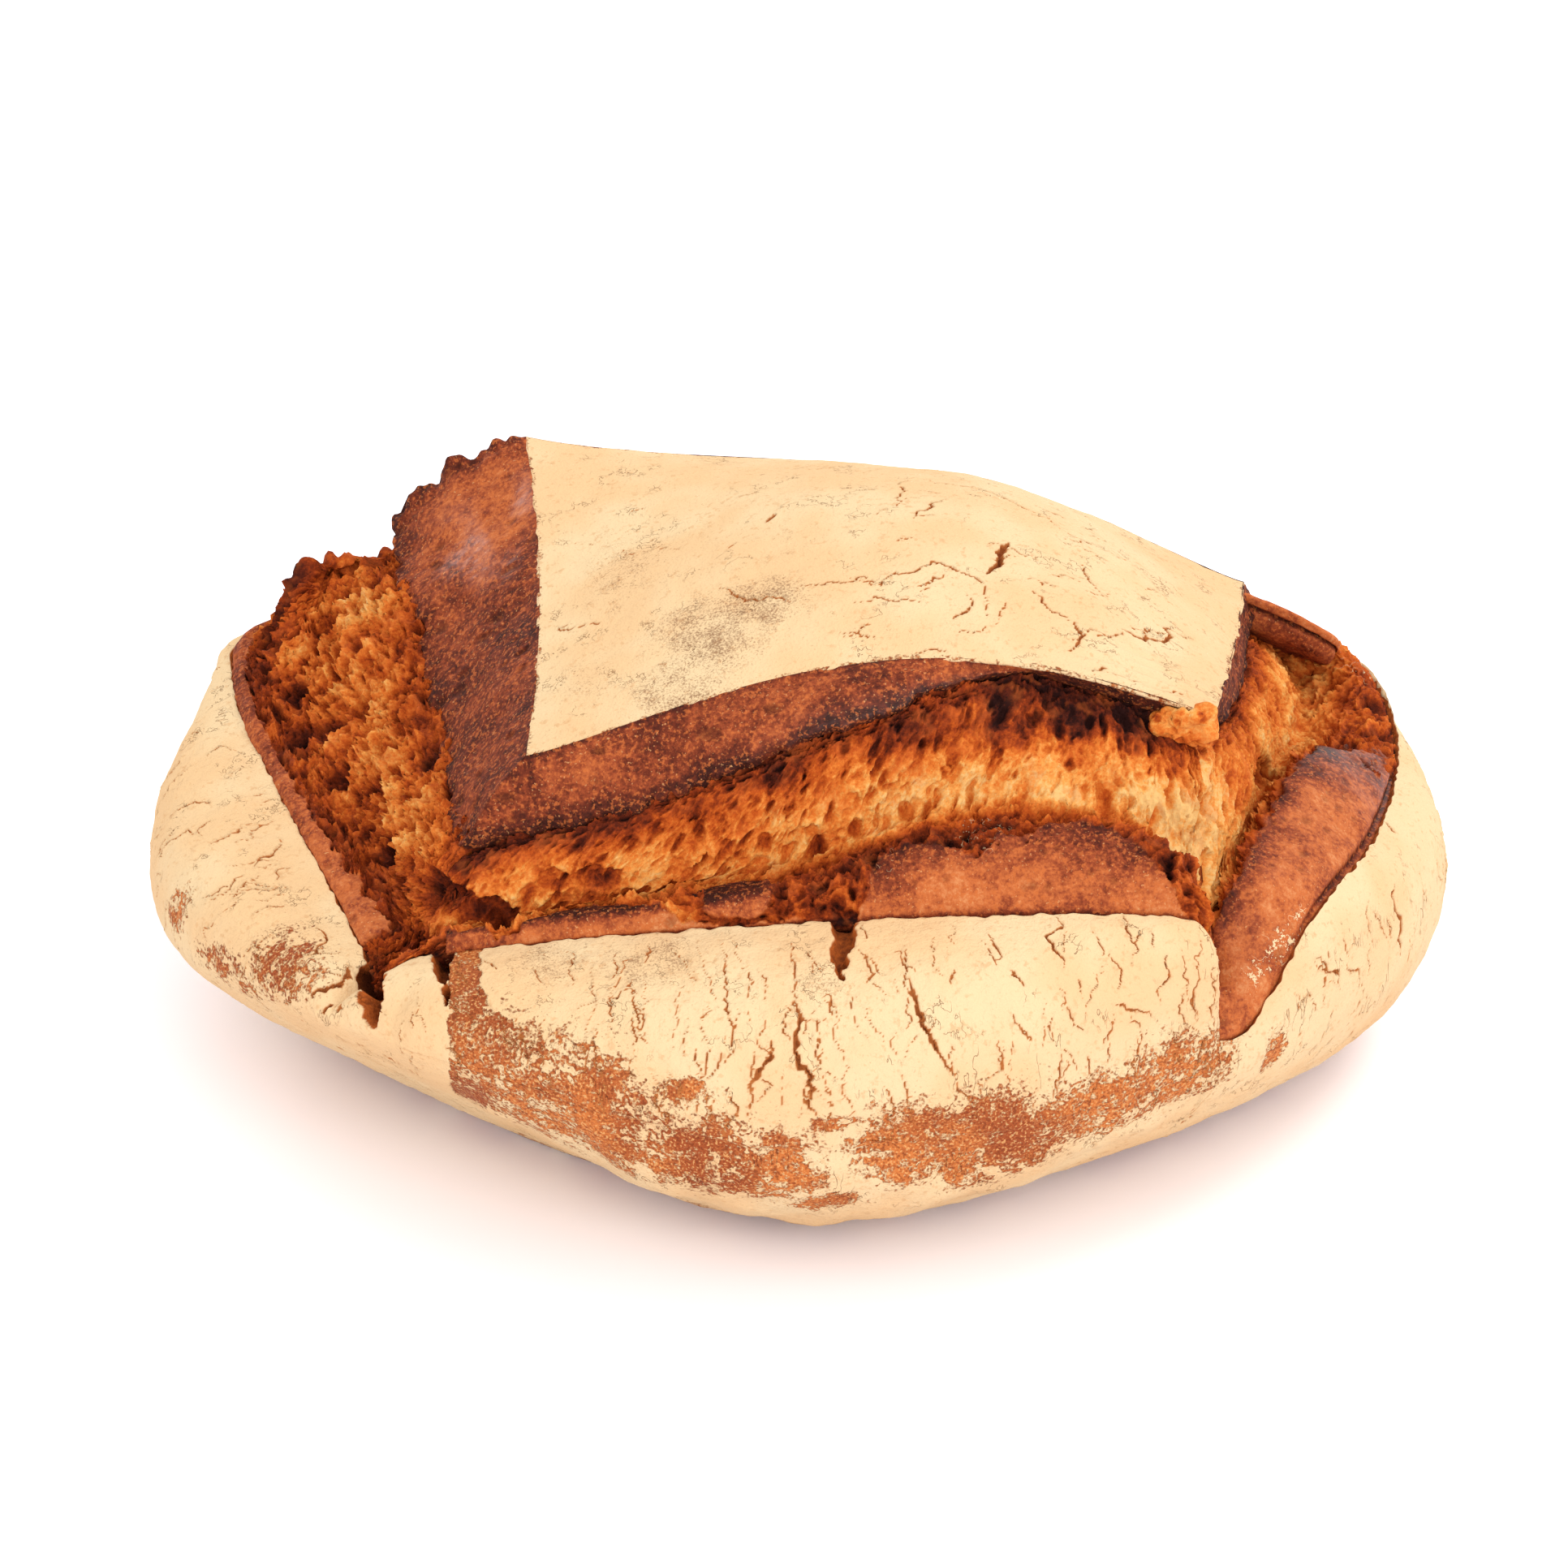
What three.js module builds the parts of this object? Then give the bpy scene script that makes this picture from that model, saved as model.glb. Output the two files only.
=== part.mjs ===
// A large rustic sourdough loaf. The dough was slashed in a square round its top before baking,
// so a domed lid of floured crust has lifted off, and torn crumb shows all round between the lid
// and the floured walls. The loaf is one closed solid.
//
// The surface is a stack of closed rings, from the middle of the base up over the widest line,
// over the lip of the wall, down into the slash, up the torn crumb and over the lid to its crown.
// Each ring is walked by one number t from 0 to 4. Sides 0 to 3 are front, right, back and left,
// and a whole t is a corner: 0 front left, 1 front right, 2 back right, 3 back left.
// Millimetres, +Z up, +X to the right, +Y to the back. The origin is under the middle, on the base.
import * as THREE from 'three';

// ---- walls and base
const WIDEST = { right: 146, left: 146, front: 114.5, back: 114.5, power: 1.85 };
const FOOT = { right: 116, left: 96, front: 76, back: 90, power: 1.6 };
// round the loaf from +X by the back, eight stations
const WIDEST_HEIGHT = [40, 42, 44, 46, 40, 50, 40, 42];
const UNDERSIDE_RISE = [0.15, 0.2, 0.2, 0.2, 0.35, 0.8, 0.16, 0.35];
const UNDERSIDE_HANG = [0.5, 0.4, 0.4, 0.4, 0.4, 0.12, 0.62, 0.3];
const BROW_BULGE = [-4, 0, 2, 4, 10, 0, 0, 0]; // how far the top of the wall is pushed outward
const APRON_PROUD = 3.5; // the front wall stands out this far between the two front slashes

// ---- lip of the wall, where flour gives way to the brown band; a side is
// [bow outward, lift, skew of both towards the far corner, fullness of the arch]
const LIP = {
  corners: [[-91, -73, 57], [89, -86, 73], [130, 48, 66], [-130, 52, 68]],
  sides: [[0, 8.5, 1.6, 0.3], [20, -4, 1, 0.7], [24, 6, 1, 0.6], [5, 0, 0.5, 1.6]],
};
// where the slashes run on down the wall: [t, width before, width after, depth]
const NOTCHES = [[0, 0.03, 0.03, 5], [1, 0.016, 0.13, 25]];

// ---- edge of the floured lid
const LID = {
  corners: [[-58, -52, 98], [88, -47, 105.5], [102, 44, 89], [-62, 62, 117]],
  sides: [[-6, 14.5, 1.15, 1.15], [1, -2, 1, 1], [8, 7.4, 0.75, 2], [-3, -1, 1, 1]],
};
const LID_SWELL = 16; // height of the dome over the sheet stretched between the four edges
const SWELL_LEAN = 0.5; // share by which the swell grows from left to right
const CREST = { at: 3, width: 0.09, height: 2.5 }; // torn edge that stands up from the lid's skirt

// ---- steps between rings along X, Y and Z, at sixteen stations, four to a side from t = 0
const BAND_FROM_LIP = [
  [7, 3, 2], [0, 7, 2], [0, 9, 5], [0, 16, 12],
  [0, 8, 8], [-18, 0, 8], [-17, 8, 11], [-12, 2, 2],
  [-6, -3, 4], [-3, -12, 13], [0, -11, 5], [3, -10, 4],
  [5, -3, 3], [4, -1, 1], [4.5, 0, 1], [6, 2, 1],
];
// the right band, an ear of crust, stays broad down to its lower end
const EAR_FOOT = { at: 1.1, width: 0.08, shift: [-7, 0, 1] };
const FLANK_FROM_LID = [
  [-14, -7, -19], [0, -14, -13], [0, -12, -7], [0, 3, -3],
  [-1, 2, -5], [1, 1, -9], [2, 0, -10], [2, 1, -9],
  [3, 5, -8], [3, 9, -9], [0, 9, -9], [2, 9, -8],
  [-31, -2, -22], [-29, -4, -22], [-25, -5, -26], [-20, -8, -24],
];
// floor of the slash: its place from the band (0) to the flank (1), and its depth under that line
const FLOOR_PLACE = [
  0.4, 0.45, 0.45, 0.35, 0.4, 0.45, 0.5, 0.45, 0.45, 0.45, 0.45, 0.4, 0.4, 0.3, 0.3, 0.35,
];
const FLOOR_DEPTH = [4, 9, 9, 3, 5, 9, 12, 9, 12, 14, 14, 8, -6, 3, 3, 3];
// the crumb hangs low under the lid's two back corners
const SAGS = [{ at: 2, width: 0.12, depth: 6 }, { at: 3, width: 0.12, depth: 6 }];

// ---- relief: [size of a lump, its height]
const CRUMB_LUMPS = [[19, 3], [11, 2.4]];
const CRUST_LUMPS = [[34, 0.7], [12, 0.25]];
const RAGGED_EDGE = [[9, 2.2]];

// ---- mesh
const COLUMNS = 120;
const LID_ROWS = 9;
const CRUST_COLOUR = 0xe8c795;

const point = (list) => new THREE.Vector3(...list);

// Smooth closed curve through evenly spaced station values; turn runs once round from 0 to 1.
function around(values, turn) {
  const count = values.length;
  const place = (((turn % 1) + 1) % 1) * count;
  const station = Math.floor(place);
  const f = place - station;
  const [a, b, c, d] = [-1, 0, 1, 2].map((step) => values[(station + step + count) % count]);
  const cubic = -a + 3 * b - 3 * c + d;
  return 0.5 * (2 * b + (c - a) * f + (2 * a - 5 * b + 4 * c - d) * f * f + cubic * f ** 3);
}

// Step between two rings at t, from a table of sixteen steps.
function stepAt(table, t) {
  return point([0, 1, 2].map((axis) => around(table.map((row) => row[axis]), t / 4)));
}

// Point of a four-cornered ring: on the chord of its side, bowed outward and lifted.
function onRing({ corners, sides }, t) {
  const side = Math.floor(t) % 4;
  const f = t - Math.floor(t);
  const [bow, lift, skew, fullness] = sides[side];
  const from = point(corners[side]);
  const chord = point(corners[(side + 1) % 4]).sub(from);
  const outward = new THREE.Vector3(chord.y, -chord.x, 0).normalize();
  const g = f ** skew;
  const arch = Math.max(0, 4 * g * (1 - g)) ** fullness;
  from.addScaledVector(chord, f).addScaledVector(outward, bow * arch);
  from.z += lift * arch;
  return from;
}

// Point of the lid, u from left to right and v from front to back, both 0..1: a Coons patch over
// the four edges, with the dome's swell on top.
function onLid(u, v) {
  const front = onRing(LID, Math.min(u, 1 - 1e-9));
  const right = onRing(LID, 1 + Math.min(v, 1 - 1e-9));
  const back = onRing(LID, 3 - Math.max(u, 1e-9));
  const left = onRing(LID, 4 - Math.max(v, 1e-9));
  const p = front.multiplyScalar(1 - v).addScaledVector(back, v);
  p.addScaledVector(left, 1 - u).addScaledVector(right, u);
  const weights = [(1 - u) * (1 - v), u * (1 - v), u * v, (1 - u) * v];
  weights.forEach((weight, corner) => p.addScaledVector(point(LID.corners[corner]), -weight));
  const lean = 1 + SWELL_LEAN * (u - 0.5);
  p.z += LID_SWELL * lean * 16 * u * (1 - u) * v * (1 - v);
  return p;
}

// Place of t on the rim of the unit square that the lid's u and v run over.
function onRim(t) {
  const f = t - Math.floor(t);
  return [[f, 0], [1, f], [1 - f, 1], [0, 1 - f]][Math.floor(t) % 4];
}

// Point of a squared oval at a bearing.
function onOval({ right, left, front, back, power }, bearing) {
  const c = Math.cos(bearing);
  const s = Math.sin(bearing);
  const alongX = Math.abs(c / (c > 0 ? right : left)) ** power;
  const alongY = Math.abs(s / (s > 0 ? back : front)) ** power;
  const reach = (alongX + alongY) ** (-1 / power);
  return new THREE.Vector3(reach * c, reach * s, 0);
}

// Depth that the slashes cut below the lip at t.
function notchDepth(t) {
  let depth = 0;
  for (const [at, before, after, deep] of NOTCHES) {
    const gap = ((t - at + 6) % 4) - 2;
    depth += deep * Math.exp(-((gap / (gap < 0 ? before : after)) ** 2));
  }
  return depth;
}

// Bell of height 1 round one place of t.
const bell = ({ at, width }, t) => Math.exp(-(((t - at) / width) ** 2));

// Smooth step from 0 to 1 between two values.
function ease(low, high, value) {
  const s = Math.min(1, Math.max(0, (value - low) / (high - low)));
  return s * s * (3 - 2 * s);
}

// Steady pseudo-random value in -1..1 for whole coordinates.
function scatter(x, y, z) {
  const s = Math.sin(x * 127.1 + y * 311.7 + z * 74.7) * 43758.5453;
  return 2 * (s - Math.floor(s)) - 1;
}

// Smooth lumps: scatter values blended between the corners of a cubic lattice.
function lumps(list, p) {
  let sum = 0;
  for (const [size, height] of list) {
    const at = [p.x / size, p.y / size, p.z / size];
    const low = at.map(Math.floor);
    const w = at.map((value, axis) => ease(0, 1, value - low[axis]));
    for (let corner = 0; corner < 8; corner += 1) {
      const bit = [corner & 1, (corner >> 1) & 1, (corner >> 2) & 1];
      const weight = bit.reduce((product, b, axis) => product * (b ? w[axis] : 1 - w[axis]), 1);
      sum += height * weight * scatter(low[0] + bit[0], low[1] + bit[1], low[2] + bit[2]);
    }
  }
  return sum;
}

// Points between two ends, the first end left out, with a bulge at the middle.
function stretch(from, to, count, bulge) {
  const list = [];
  for (let k = 1; k <= count; k += 1) {
    const s = k / count;
    const p = from.clone().lerp(to, s);
    p.addScaledVector(bulge, 4 * s * (1 - s));
    list.push(p);
  }
  return list;
}

// Points along a cubic Bezier, the first end left out.
function sweep(a, b, c, d, count) {
  return new THREE.CubicBezierCurve3(a, b, c, d).getPoints(count).slice(1);
}

// One meridian of the loaf at t: every point from the rim of the base to just short of the crown.
function meridian(t) {
  const lip = onRing(LIP, t);
  lip.z -= notchDepth(t);
  const bearing = Math.atan2(lip.y, lip.x);
  const turn = bearing / (2 * Math.PI);
  const out = new THREE.Vector3(Math.cos(bearing), Math.sin(bearing), 0);
  const up = new THREE.Vector3(0, 0, 1);

  // base and underside
  const foot = onOval(FOOT, bearing);
  const widest = onOval(WIDEST, bearing);
  widest.z = around(WIDEST_HEIGHT, turn);
  const overhang = Math.hypot(widest.x - foot.x, widest.y - foot.y);
  const low = foot.clone().addScaledVector(out, 0.4 * overhang);
  low.z += 0.4 * overhang * around(UNDERSIDE_RISE, turn);
  const hang = widest.clone().addScaledVector(up, -widest.z * around(UNDERSIDE_HANG, turn));
  const underside = sweep(foot, low, hang, widest, 7);

  // floured wall, with the front apron standing proud between its two slashes
  const rise = lip.z - widest.z;
  const shoulder = widest.clone().addScaledVector(up, 0.75 * rise);
  const setback = Math.hypot(widest.x - lip.x, widest.y - lip.y);
  const brow = lip.clone().addScaledVector(out, 0.5 * setback + around(BROW_BULGE, turn));
  brow.z -= 0.05 * rise;
  const wall = sweep(widest, shoulder, brow, lip, 7);
  const apron = APRON_PROUD * ease(0.1, 0.13, t) * (1 - ease(0.96, 1, t));
  wall.forEach((p, k) => p.addScaledVector(out, apron * Math.sin((Math.PI * (k + 1)) / 8)));

  // brown band, slash and torn crumb
  const band = lip.clone().add(stepAt(BAND_FROM_LIP, t));
  band.addScaledVector(point(EAR_FOOT.shift), bell(EAR_FOOT, t));
  const lidEdge = onRing(LID, t);
  const flank = lidEdge.clone().add(stepAt(FLANK_FROM_LID, t));
  const floor = band.clone().lerp(flank, around(FLOOR_PLACE, t / 4));
  floor.z -= around(FLOOR_DEPTH, t / 4);
  const ear = stretch(lip, band, 3, up.clone().multiplyScalar(1.2));
  const slash = stretch(band, floor, 2, out);
  const sag = SAGS.reduce((sum, shape) => sum + shape.depth * bell(shape, t), 0);
  const belly = out.clone().multiplyScalar(2).addScaledVector(up, -sag);
  const torn = stretch(floor, flank, 7, belly);
  const crest = bell(CREST, t) * CREST.height;
  const brown = stretch(flank, lidEdge, 4, up.clone().multiplyScalar(1.2 + crest));

  // domed lid, in squares that shrink to its middle
  const lid = [];
  for (let k = LID_ROWS; k >= 1; k -= 1) {
    const r = k / (LID_ROWS + 1);
    const [u, v] = onRim(t).map((rim) => 0.5 + (rim - 0.5) * r);
    lid.push(onLid(u, v));
  }

  // relief, along the bearing and up
  const roughen = (list, sizes, tilt) => list.forEach((p) => {
    const height = lumps(sizes, p);
    p.addScaledVector(out, height * (1 - tilt));
    p.z += height * tilt;
  });
  roughen(wall.slice(0, -1), CRUST_LUMPS, 0.3);
  roughen([...slash.slice(-1), ...torn.slice(0, -1)], CRUMB_LUMPS, 0.5);
  roughen(torn.slice(-1), RAGGED_EDGE, 0.5);
  roughen(lid, CRUST_LUMPS, 1);
  const inner = foot.clone().multiplyScalar(0.5);
  return [inner, foot, ...underside, ...wall, ...ear, ...slash, ...torn, ...brown, ...lid];
}

// Closed mesh: rings stacked from the base to the crown, with a fan at each end.
function loafGeometry() {
  const columns = [];
  for (let k = 0; k < COLUMNS; k += 1) {
    columns.push(meridian((4 * k) / COLUMNS));
  }
  const rows = columns[0].length;
  const position = [];
  for (let row = 0; row < rows; row += 1) {
    for (const column of columns) {
      position.push(...column[row].toArray());
    }
  }
  const base = rows * COLUMNS;
  const crown = base + 1;
  position.push(0, 0, 0, ...onLid(0.5, 0.5).toArray());
  const index = [];
  for (let k = 0; k < COLUMNS; k += 1) {
    const next = (k + 1) % COLUMNS;
    index.push(base, next, k);
    for (let row = 0; row < rows - 1; row += 1) {
      const a = row * COLUMNS + k;
      const b = row * COLUMNS + next;
      const c = a + COLUMNS;
      const d = b + COLUMNS;
      index.push(a, b, d, a, d, c);
    }
    index.push(crown, (rows - 1) * COLUMNS + k, (rows - 1) * COLUMNS + next);
  }
  const geometry = new THREE.BufferGeometry();
  geometry.setAttribute('position', new THREE.Float32BufferAttribute(position, 3));
  geometry.setIndex(index);
  geometry.computeVertexNormals();
  return geometry;
}

const crust = new THREE.MeshStandardMaterial({
  color: CRUST_COLOUR, roughness: 0.85, metalness: 0, flatShading: true,
});
const loaf = new THREE.Mesh(loafGeometry(), crust);
loaf.name = 'loaf';

const group = new THREE.Group();
group.add(loaf);

export default group;
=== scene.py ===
"""A rustic sourdough loaf: floured walls, a lifted floured lid and torn crumb between them."""

import math

import bpy
import numpy as np
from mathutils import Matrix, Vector


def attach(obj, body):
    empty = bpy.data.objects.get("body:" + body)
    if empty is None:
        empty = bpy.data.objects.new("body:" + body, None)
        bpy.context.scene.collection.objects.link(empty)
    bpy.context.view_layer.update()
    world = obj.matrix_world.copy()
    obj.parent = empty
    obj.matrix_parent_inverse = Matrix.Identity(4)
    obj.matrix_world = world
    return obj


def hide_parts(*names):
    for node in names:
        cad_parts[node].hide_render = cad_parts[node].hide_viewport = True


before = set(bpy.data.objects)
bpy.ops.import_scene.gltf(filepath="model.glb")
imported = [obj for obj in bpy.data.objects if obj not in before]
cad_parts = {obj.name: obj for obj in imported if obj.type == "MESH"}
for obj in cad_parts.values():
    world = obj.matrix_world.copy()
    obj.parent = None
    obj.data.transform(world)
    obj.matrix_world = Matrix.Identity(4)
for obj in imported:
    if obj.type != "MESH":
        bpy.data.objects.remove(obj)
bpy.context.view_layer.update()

MM = 0.001
PI = math.pi
UP = np.array([0.0, 0.0, 1.0])

# ---- Sizes of the solid, in millimetres ----
# a ring is walked by t from 0 to 4: sides 0 to 3 are front, right, back and left, and a whole t is a
# corner, front left first
WIDEST = {"right": 146, "left": 146, "front": 114.5, "back": 114.5, "power": 1.85}
FOOT = {"right": 116, "left": 96, "front": 76, "back": 90, "power": 1.6}
# round the loaf from +X by the back, eight stations
WIDEST_HEIGHT = [40, 42, 44, 46, 40, 50, 40, 42]
UNDERSIDE_RISE = [0.15, 0.2, 0.2, 0.2, 0.35, 0.8, 0.16, 0.35]
UNDERSIDE_HANG = [0.5, 0.4, 0.4, 0.4, 0.4, 0.12, 0.62, 0.3]
BROW_BULGE = [-4, 0, 2, 4, 10, 0, 0, 0]  # how far the top of the wall is pushed outward
APRON_PROUD = 3.5  # the front wall stands out this far between the two front slashes

# a side is bow outward, lift, skew of both, fullness of the arch
LIP = {
    "corners": [(-91, -73, 57), (89, -86, 73), (130, 48, 66), (-130, 52, 68)],
    "sides": [(0, 8.5, 1.6, 0.3), (20, -4, 1, 0.7), (24, 6, 1, 0.6), (5, 0, 0.5, 1.6)],
}
LID = {
    "corners": [(-58, -52, 98), (88, -47, 105.5), (102, 44, 89), (-62, 62, 117)],
    "sides": [(-6, 14.5, 1.15, 1.15), (1, -2, 1, 1), (8, 7.4, 0.75, 2), (-3, -1, 1, 1)],
}
LID_SWELL = 16  # height of the dome over the sheet stretched between the four edges
SWELL_LEAN = 0.5  # share by which the swell grows from left to right
CREST = {"at": 3, "width": 0.09, "height": 2.5}  # torn edge that stands up from the lid's skirt
NOTCHES = [(0, 0.03, 0.03, 5), (1, 0.016, 0.13, 25)]

# steps between rings along X, Y and Z, at sixteen stations, four to a side from t = 0
BAND_FROM_LIP = [
    (7, 3, 2), (0, 7, 2), (0, 9, 5), (0, 16, 12),
    (0, 8, 8), (-18, 0, 8), (-17, 8, 11), (-12, 2, 2),
    (-6, -3, 4), (-3, -12, 13), (0, -11, 5), (3, -10, 4),
    (5, -3, 3), (4, -1, 1), (4.5, 0, 1), (6, 2, 1),
]
# the right band, an ear of crust, stays broad down to its lower end
EAR_FOOT = {"at": 1.1, "width": 0.08, "shift": (-7, 0, 1)}
FLANK_FROM_LID = [
    (-14, -7, -19), (0, -14, -13), (0, -12, -7), (0, 3, -3),
    (-1, 2, -5), (1, 1, -9), (2, 0, -10), (2, 1, -9),
    (3, 5, -8), (3, 9, -9), (0, 9, -9), (2, 9, -8),
    (-31, -2, -22), (-29, -4, -22), (-25, -5, -26), (-20, -8, -24),
]
FLOOR_PLACE = [
    0.4, 0.45, 0.45, 0.35, 0.4, 0.45, 0.5, 0.45, 0.45, 0.45, 0.45, 0.4, 0.4, 0.3, 0.3, 0.35,
]
FLOOR_DEPTH = [4, 9, 9, 3, 5, 9, 12, 9, 12, 14, 14, 8, -6, 3, 3, 3]
# the crumb hangs low under the lid's two back corners
SAGS = [{"at": 2, "width": 0.12, "depth": 6}, {"at": 3, "width": 0.12, "depth": 6}]


# ---- Rings of the loaf, as whole arrays: t has shape (n,), a ring has shape (n, 3) ----
def catmull(a, b, c, d, s):
    """Catmull-Rom curve from b to c, with a before and d after: a cubic in s, 0 to 1."""
    curve = 2 * b + (c - a) * s + (2 * a - 5 * b + 4 * c - d) * s**2
    return 0.5 * (curve + (-a + 3 * b - 3 * c + d) * s**3)


def around(values, turn):
    """Closed Catmull-Rom curve through evenly spaced station values; turn 0..1 is once round."""
    values = np.asarray(values, float)
    count = len(values)
    place = (np.asarray(turn, float) % 1) * count
    station = np.floor(place).astype(int)
    f = place - station
    if values.ndim > 1:
        f = f[:, None]
    a, b, c, d = (values[(station + step) % count] for step in (-1, 0, 1, 2))
    return catmull(a, b, c, d, f)


def on_ring(shape, t):
    """Chord of the side plus its arch, (4 g (1 - g)) ** fullness with g = f ** skew."""
    side = np.floor(t).astype(int) % 4
    f = t - np.floor(t)
    corners = np.array(shape["corners"], float)
    bow, lift, skew, fullness = np.array(shape["sides"], float)[side].T
    start = corners[side]
    chord = corners[(side + 1) % 4] - start
    outward = np.stack([chord[:, 1], -chord[:, 0]], 1)
    outward /= np.linalg.norm(outward, axis=1)[:, None]
    g = f**skew
    arch = np.clip(4 * g * (1 - g), 0, None) ** fullness
    ring = start + chord * f[:, None]
    ring[:, :2] += outward * (bow * arch)[:, None]
    ring[:, 2] += lift * arch
    return ring


def on_oval(shape, bearing):
    """Superellipse |x/a|^p + |y/b|^p = 1 with its own reach on each side."""
    c, s = np.cos(bearing), np.sin(bearing)
    along = np.abs(c / np.where(c > 0, shape["right"], shape["left"])) ** shape["power"]
    across = np.abs(s / np.where(s > 0, shape["back"], shape["front"])) ** shape["power"]
    reach = (along + across) ** (-1 / shape["power"])
    return np.stack([reach * c, reach * s, 0 * c], 1)


def notch_depth(t):
    """Sum of one-sided bells, depth * exp(-(gap / width)^2)."""
    depth = 0
    for at, before, after, deep in NOTCHES:
        gap = (t - at + 6) % 4 - 2
        depth = depth + deep * np.exp(-((gap / np.where(gap < 0, before, after)) ** 2))
    return depth


def bell(shape, t):
    """exp(-((t - at) / width)^2)."""
    return np.exp(-(((t - shape["at"]) / shape["width"]) ** 2))


def lip_ring(t):
    """Top edge of the wall: the lip's arches less the notches."""
    ring = on_ring(LIP, t)
    ring[:, 2] -= notch_depth(t)
    return ring


def on_lid(u, v):
    """Coons patch over the lid's four edges plus the swell 16 u (1 - u) v (1 - v), leaning right."""
    last = 1 - 1e-9
    front = on_ring(LID, np.minimum(u, last))
    right = on_ring(LID, 1 + np.minimum(v, last))
    back = on_ring(LID, 3 - np.maximum(u, 1 - last))
    left = on_ring(LID, 4 - np.maximum(v, 1 - last))
    u, v = u[:, None], v[:, None]
    sheet = front * (1 - v) + back * v + left * (1 - u) + right * u
    weights = [(1 - u) * (1 - v), u * (1 - v), u * v, (1 - u) * v]
    for weight, corner in zip(weights, LID["corners"]):
        sheet = sheet - weight * np.array(corner, float)
    sheet[:, 2:] += LID_SWELL * (1 + SWELL_LEAN * (u - 0.5)) * 16 * u * (1 - u) * v * (1 - v)
    return sheet


def heading(points, centre=(0, 0)):
    """Bearing of each point about a centre, and the level unit vector that way."""
    bearing = np.arctan2(points[:, 1] - centre[1], points[:, 0] - centre[0])
    return bearing, np.stack([np.cos(bearing), np.sin(bearing), 0 * bearing], 1)


def ease(low, high, value):
    """Smooth step 3 s^2 - 2 s^3 between low and high."""
    s = np.clip((value - low) / (high - low), 0, 1)
    return s * s * (3 - 2 * s)


def blend(a, b, weight):
    """a at weight 0, b at weight 1, straight between."""
    return a + (b - a) * weight


def bezier(a, b, c, d, s):
    """Cubic Bezier points (1-s)^3 a + 3 (1-s)^2 s b + 3 (1-s) s^2 c + s^3 d, one row for each s."""
    s = s[:, None, None]
    return (1 - s) ** 3 * a + 3 * (1 - s) ** 2 * s * b + 3 * (1 - s) * s**2 * c + s**3 * d


# ---- Noise on points of shape (..., 3), millimetres ----
def scramble(ix, iy, iz, salt):
    """Integer hash of a lattice cell to 0..1."""
    h = (ix * 374761393 + iy * 668265263 + iz * 2147483647 + salt * 1274126177) & 0xFFFFFFFF
    h = ((h ^ (h >> 13)) * 1103515245) & 0xFFFFFFFF
    h = ((h ^ (h >> 15)) * 2246822519) & 0xFFFFFFFF
    return ((h ^ (h >> 16)) & 0xFFFFFF) / 16777216.0


def ripple(points, size, salt):
    """Gradient noise, about -1..1: hashed slopes blended by 6 s^5 - 15 s^4 + 10 s^3."""
    p = points / size
    low = np.floor(p).astype(np.int64)
    f = p - low
    w = f * f * f * (f * (f * 6 - 15) + 10)
    total = 0
    for corner in range(8):
        bit = np.array([corner & 1, (corner >> 1) & 1, (corner >> 2) & 1])
        cell = low + bit
        turn = 2 * PI * scramble(cell[..., 0], cell[..., 1], cell[..., 2], salt)
        rise = 2 * scramble(cell[..., 1], cell[..., 2], cell[..., 0], salt + 7) - 1
        flat = np.sqrt(1 - rise * rise)
        gap = f - bit
        slope = gap[..., 0] * flat * np.cos(turn) + gap[..., 1] * flat * np.sin(turn)
        slope = slope + gap[..., 2] * rise
        weight = np.prod(np.where(bit == 1, w, 1 - w), axis=-1)
        total = total + weight * slope
    return 1.6 * total


def rolling(points, size, octaves, salt):
    """Sum of ripples, each half the size and about half the height of the last."""
    total = 0
    for octave in range(octaves):
        total = total + 0.5**octave * ripple(points, size * 0.5**octave, salt + 31 * octave)
    return total


def bubbles(points, size, salt):
    """Distance to the nearest and the second nearest scattered centre, over size, and its number."""
    p = points / size
    low = np.floor(p).astype(np.int64)
    first = np.full(p.shape[:-1], 9.0)
    second = np.full(p.shape[:-1], 9.0)
    number = np.zeros(p.shape[:-1])
    for dx in (-1, 0, 1):
        for dy in (-1, 0, 1):
            for dz in (-1, 0, 1):
                cell = low + np.array([dx, dy, dz])
                x, y, z = cell[..., 0], cell[..., 1], cell[..., 2]
                centre = np.stack(
                    [scramble(x, y, z, salt), scramble(y, z, x, salt + 3), scramble(z, x, y, salt + 5)],
                    axis=-1,
                )
                gap = np.sqrt(((cell + centre - p) ** 2).sum(-1))
                nearer = gap < first
                second = np.where(nearer, first, np.minimum(second, gap))
                number = np.where(nearer, scramble(x, y, z, salt + 11), number)
                first = np.where(nearer, gap, first)
    return first, second, number


def pits(points, size, share, salt):
    """Round hollows 0..1 deep in a share of the bubbles, each with its own width."""
    first, _, number = bubbles(points, size, salt)
    radius = 0.35 + 0.35 * (number / share)
    return np.where(number < share, np.clip(1 - (first / radius) ** 2, 0, 1), 0)


# ---- Meshes ----
# folds steeper than this many degrees stay sharp
SHARP_CRUST = 75
SHARP_CRUMB = 80


def normals_of(grid):
    """Unit normals of a (rows, columns, 3) grid: across its columns x along its rows."""
    normal = np.cross(np.gradient(grid, axis=1), np.gradient(grid, axis=0))
    return normal / np.maximum(np.linalg.norm(normal, axis=-1, keepdims=True), 1e-9)


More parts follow.
